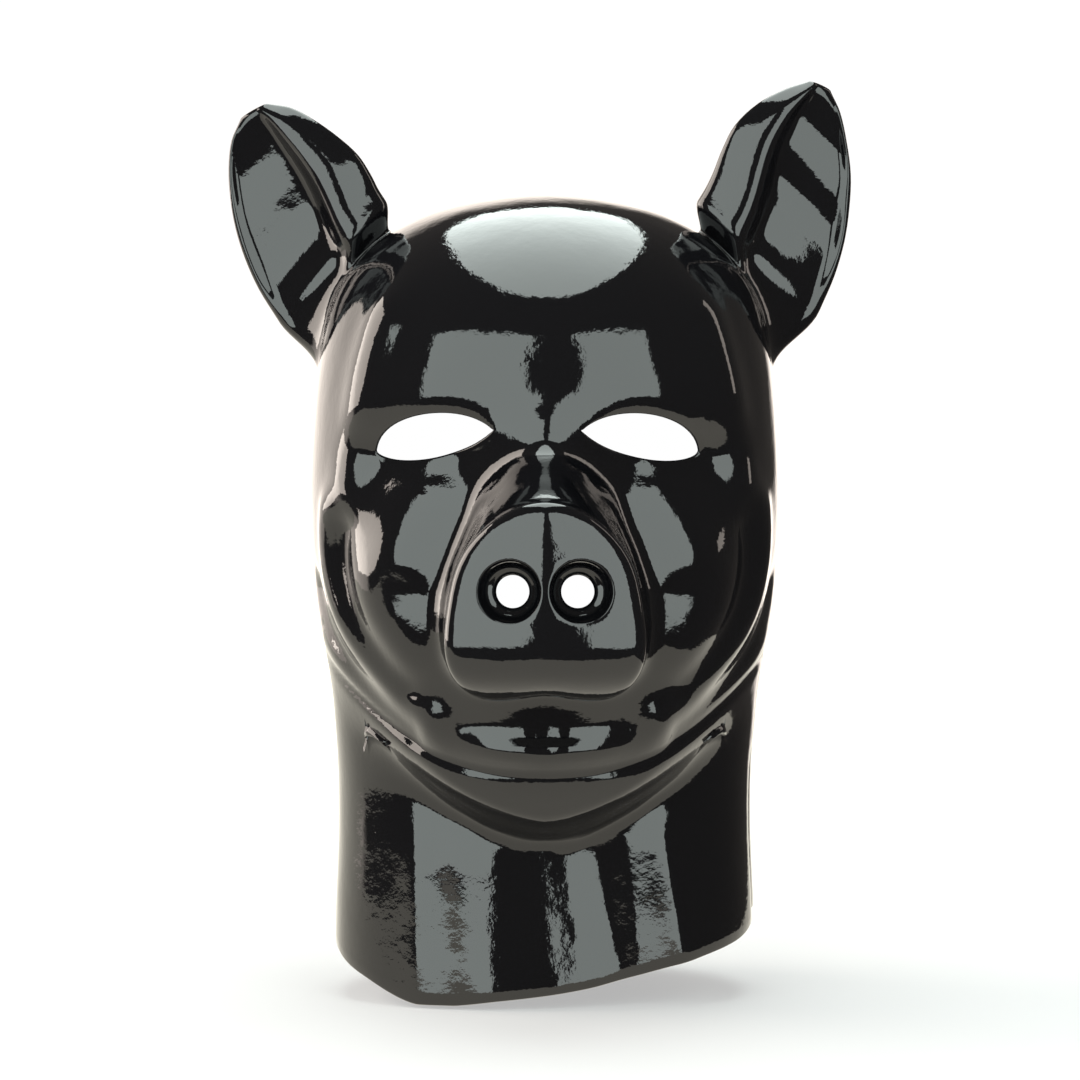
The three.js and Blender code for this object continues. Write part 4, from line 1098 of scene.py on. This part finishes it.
def add_soft_box(name, shape, tint, direction, distance, width, height, radiance, target):
    """An area light of a given radiance, facing the target. Its power is radiance pi area."""
    light = bpy.data.lights.new(name, "AREA")
    light.shape = shape
    light.color = tint
    light.size = width
    light.size_y = height
    light.energy = radiance * math.pi * width * height
    lamp = bpy.data.objects.new(name, light)
    bpy.context.scene.collection.objects.link(lamp)
    lamp.location = Vector(target) + Vector(direction) * distance
    lamp.rotation_euler = (-Vector(direction)).to_track_quat("-Z", "Y").to_euler()
    return lamp


def sky_direction(bearing, elevation):
    """Unit direction at a bearing from the front and an elevation, both in degrees."""
    turn, lift = math.radians(bearing), math.radians(elevation)
    return math.sin(turn) * math.cos(lift), -math.cos(turn) * math.cos(lift), math.sin(lift)


class HOOD_OT_studio(bpy.types.Operator):
    """Makes the floor, backdrop, lights and camera"""

    bl_idname = "hood.studio"
    bl_label = "Studio"

    def execute(self, context):
        scene = context.scene
        size, studio = scene.hood_sizes, scene.hood_studio
        rim = CAD_BOX[0][2]
        target = (0, 0, rim + studio.camera_height)
        self.add_floor(studio, rim)
        self.add_card(size, rim)
        studio_world(studio)
        for box in SOFT_BOXES:
            width, height = (
                2 * SOFT_BOX_DISTANCE * math.tan(math.radians(side / 2)) for side in (box.width, box.height))
            add_soft_box(
                "soft_box_" + box.name, "RECTANGLE", getattr(studio, box.tint),
                sky_direction(box.bearing, box.elevation), SOFT_BOX_DISTANCE, width, height,
                box.radiance, target)
        add_soft_box(
            "soft_box_overhead", "ELLIPSE", studio.cool, (0, 0, 1), OVERHEAD["above"], OVERHEAD["width"],
            OVERHEAD["depth"], OVERHEAD["radiance"], (0, OVERHEAD["behind"], 0))
        self.add_camera(studio, rim)
        scene.view_settings.view_transform = "Standard"
        return {"FINISHED"}

    def add_floor(self, studio, rim):
        """White paper just under the rim, which takes the hood's soft shadow and, where its glow is dimmer
        round the hood, a painted shade, and over it the sheet of warm light that the gloss sees."""
        paper = emission_material("studio_paper", studio.paper, 1.0)
        tree = paper.node_tree
        place = add_node(tree, "ShaderNodeTexCoord").outputs["Object"]
        away = add_node(tree, "ShaderNodeVectorMath", [(0, place)], operation="LENGTH")
        # Painted shade: the paper's glow is dimmer nearer the hood.
        near = add_node(
            tree, "ShaderNodeMapRange", [("Value", away.outputs["Value"])], From_Min=FLOOR["near"],
            From_Max=FLOOR["far"], To_Min=FLOOR["dim"], To_Max=FLOOR["full"])
        tree.links.new(near.outputs["Result"], tree.nodes["Emission"].inputs["Strength"])
        matt = add_node(tree, "ShaderNodeBsdfDiffuse", Color=(*[FLOOR["grey"]] * 3, 1))
        both = add_node(tree, "ShaderNodeAddShader")
        tree.links.new(tree.nodes["Emission"].outputs[0], both.inputs[0])
        tree.links.new(matt.outputs[0], both.inputs[1])
        tree.links.new(both.outputs[0], tree.nodes["Material Output"].inputs["Surface"])
        low = np.array([0, 0, rim - 2 * MM])
        sheet = flat_panel("floor", low, FLOOR["half"] * RIGHT, FLOOR["half"] * BACK, paper)
        sheet.visible_glossy = False
        middle = low + FLOOR_GLOW["side"] * RIGHT + FLOOR_GLOW["back"] * BACK - MM * UP
        glow = flat_panel(
            "floor_glow", middle, FLOOR_GLOW["half_width"] * RIGHT, FLOOR_GLOW["half_depth"] * BACK,
            emission_material("floor_glow", studio.floor_glow, FLOOR_GLOW["radiance"], front_only=True))
        glow.visible_camera = False
        glow.visible_diffuse = False
        glow.visible_shadow = False

    def add_card(self, size, rim):
        """A glowing white card inside the hood, seen by the camera alone: painted white light that makes its
        openings read white from the front.
        """
        level = rim + size.eye_level - CARD["below_eyes"] * MM
        # Painted light: the card glows white where the inside of the hood would be dark.
        card = flat_panel(
            "inside_card", np.array([size.eye_shift / 2, -CARD["front"] * size.head_front, level]),
            CARD["width"] * size.head_width / 2 * RIGHT, CARD["half_height"] * MM * UP,
            emission_material("white_card", hex_colour("ffffff"), 1.0, front_only=True))
        card.visible_diffuse = False
        card.visible_glossy = False
        card.visible_shadow = False

    def add_camera(self, studio, rim):
        """A long lens level with the face: its focal length is sensor width times distance over view size."""
        camera = bpy.data.cameras.new("camera")
        camera.lens = camera.sensor_width * studio.camera_distance / studio.view_size
        camera.clip_end = VIEW_END
        seen = Vector((-studio.camera_side, 0, rim + studio.camera_height))
        away = Vector(sky_direction(0, math.degrees(studio.camera_elevation)))
        stand = bpy.data.objects.new("camera", camera)
        bpy.context.scene.collection.objects.link(stand)
        stand.location = seen + away * studio.camera_distance
        stand.rotation_euler = (-away).to_track_quat("-Z", "Y").to_euler()
        bpy.context.scene.camera = stand


class HOOD_PT_panel(bpy.types.Panel):
    """Lists the steps in the sidebar"""

    bl_label = "Latex Pig Hood"
    bl_space_type = "VIEW_3D"
    bl_region_type = "UI"
    bl_category = "Hood"

    def draw(self, context):
        for group in (context.scene.hood_sizes, context.scene.hood_finish, context.scene.hood_studio):
            box = self.layout.box()
            for name in group.__annotations__:
                box.prop(group, name)
        self.layout.operator(HOOD_OT_skin.bl_idname)
        self.layout.operator(HOOD_OT_studio.bl_idname)


CLASSES = (HoodSizes, LatexFinish, Studio, HOOD_OT_skin, HOOD_OT_studio, HOOD_PT_panel)


def register():
    for item in CLASSES:
        bpy.utils.register_class(item)
    bpy.types.Scene.hood_sizes = bpy.props.PointerProperty(type=HoodSizes)
    bpy.types.Scene.hood_finish = bpy.props.PointerProperty(type=LatexFinish)
    bpy.types.Scene.hood_studio = bpy.props.PointerProperty(type=Studio)


def unregister():
    del bpy.types.Scene.hood_studio
    del bpy.types.Scene.hood_finish
    del bpy.types.Scene.hood_sizes
    for item in reversed(CLASSES):
        bpy.utils.unregister_class(item)


def main():
    register()
    bpy.ops.hood.skin()
    bpy.ops.hood.studio()


if __name__ == "__main__":
    main()
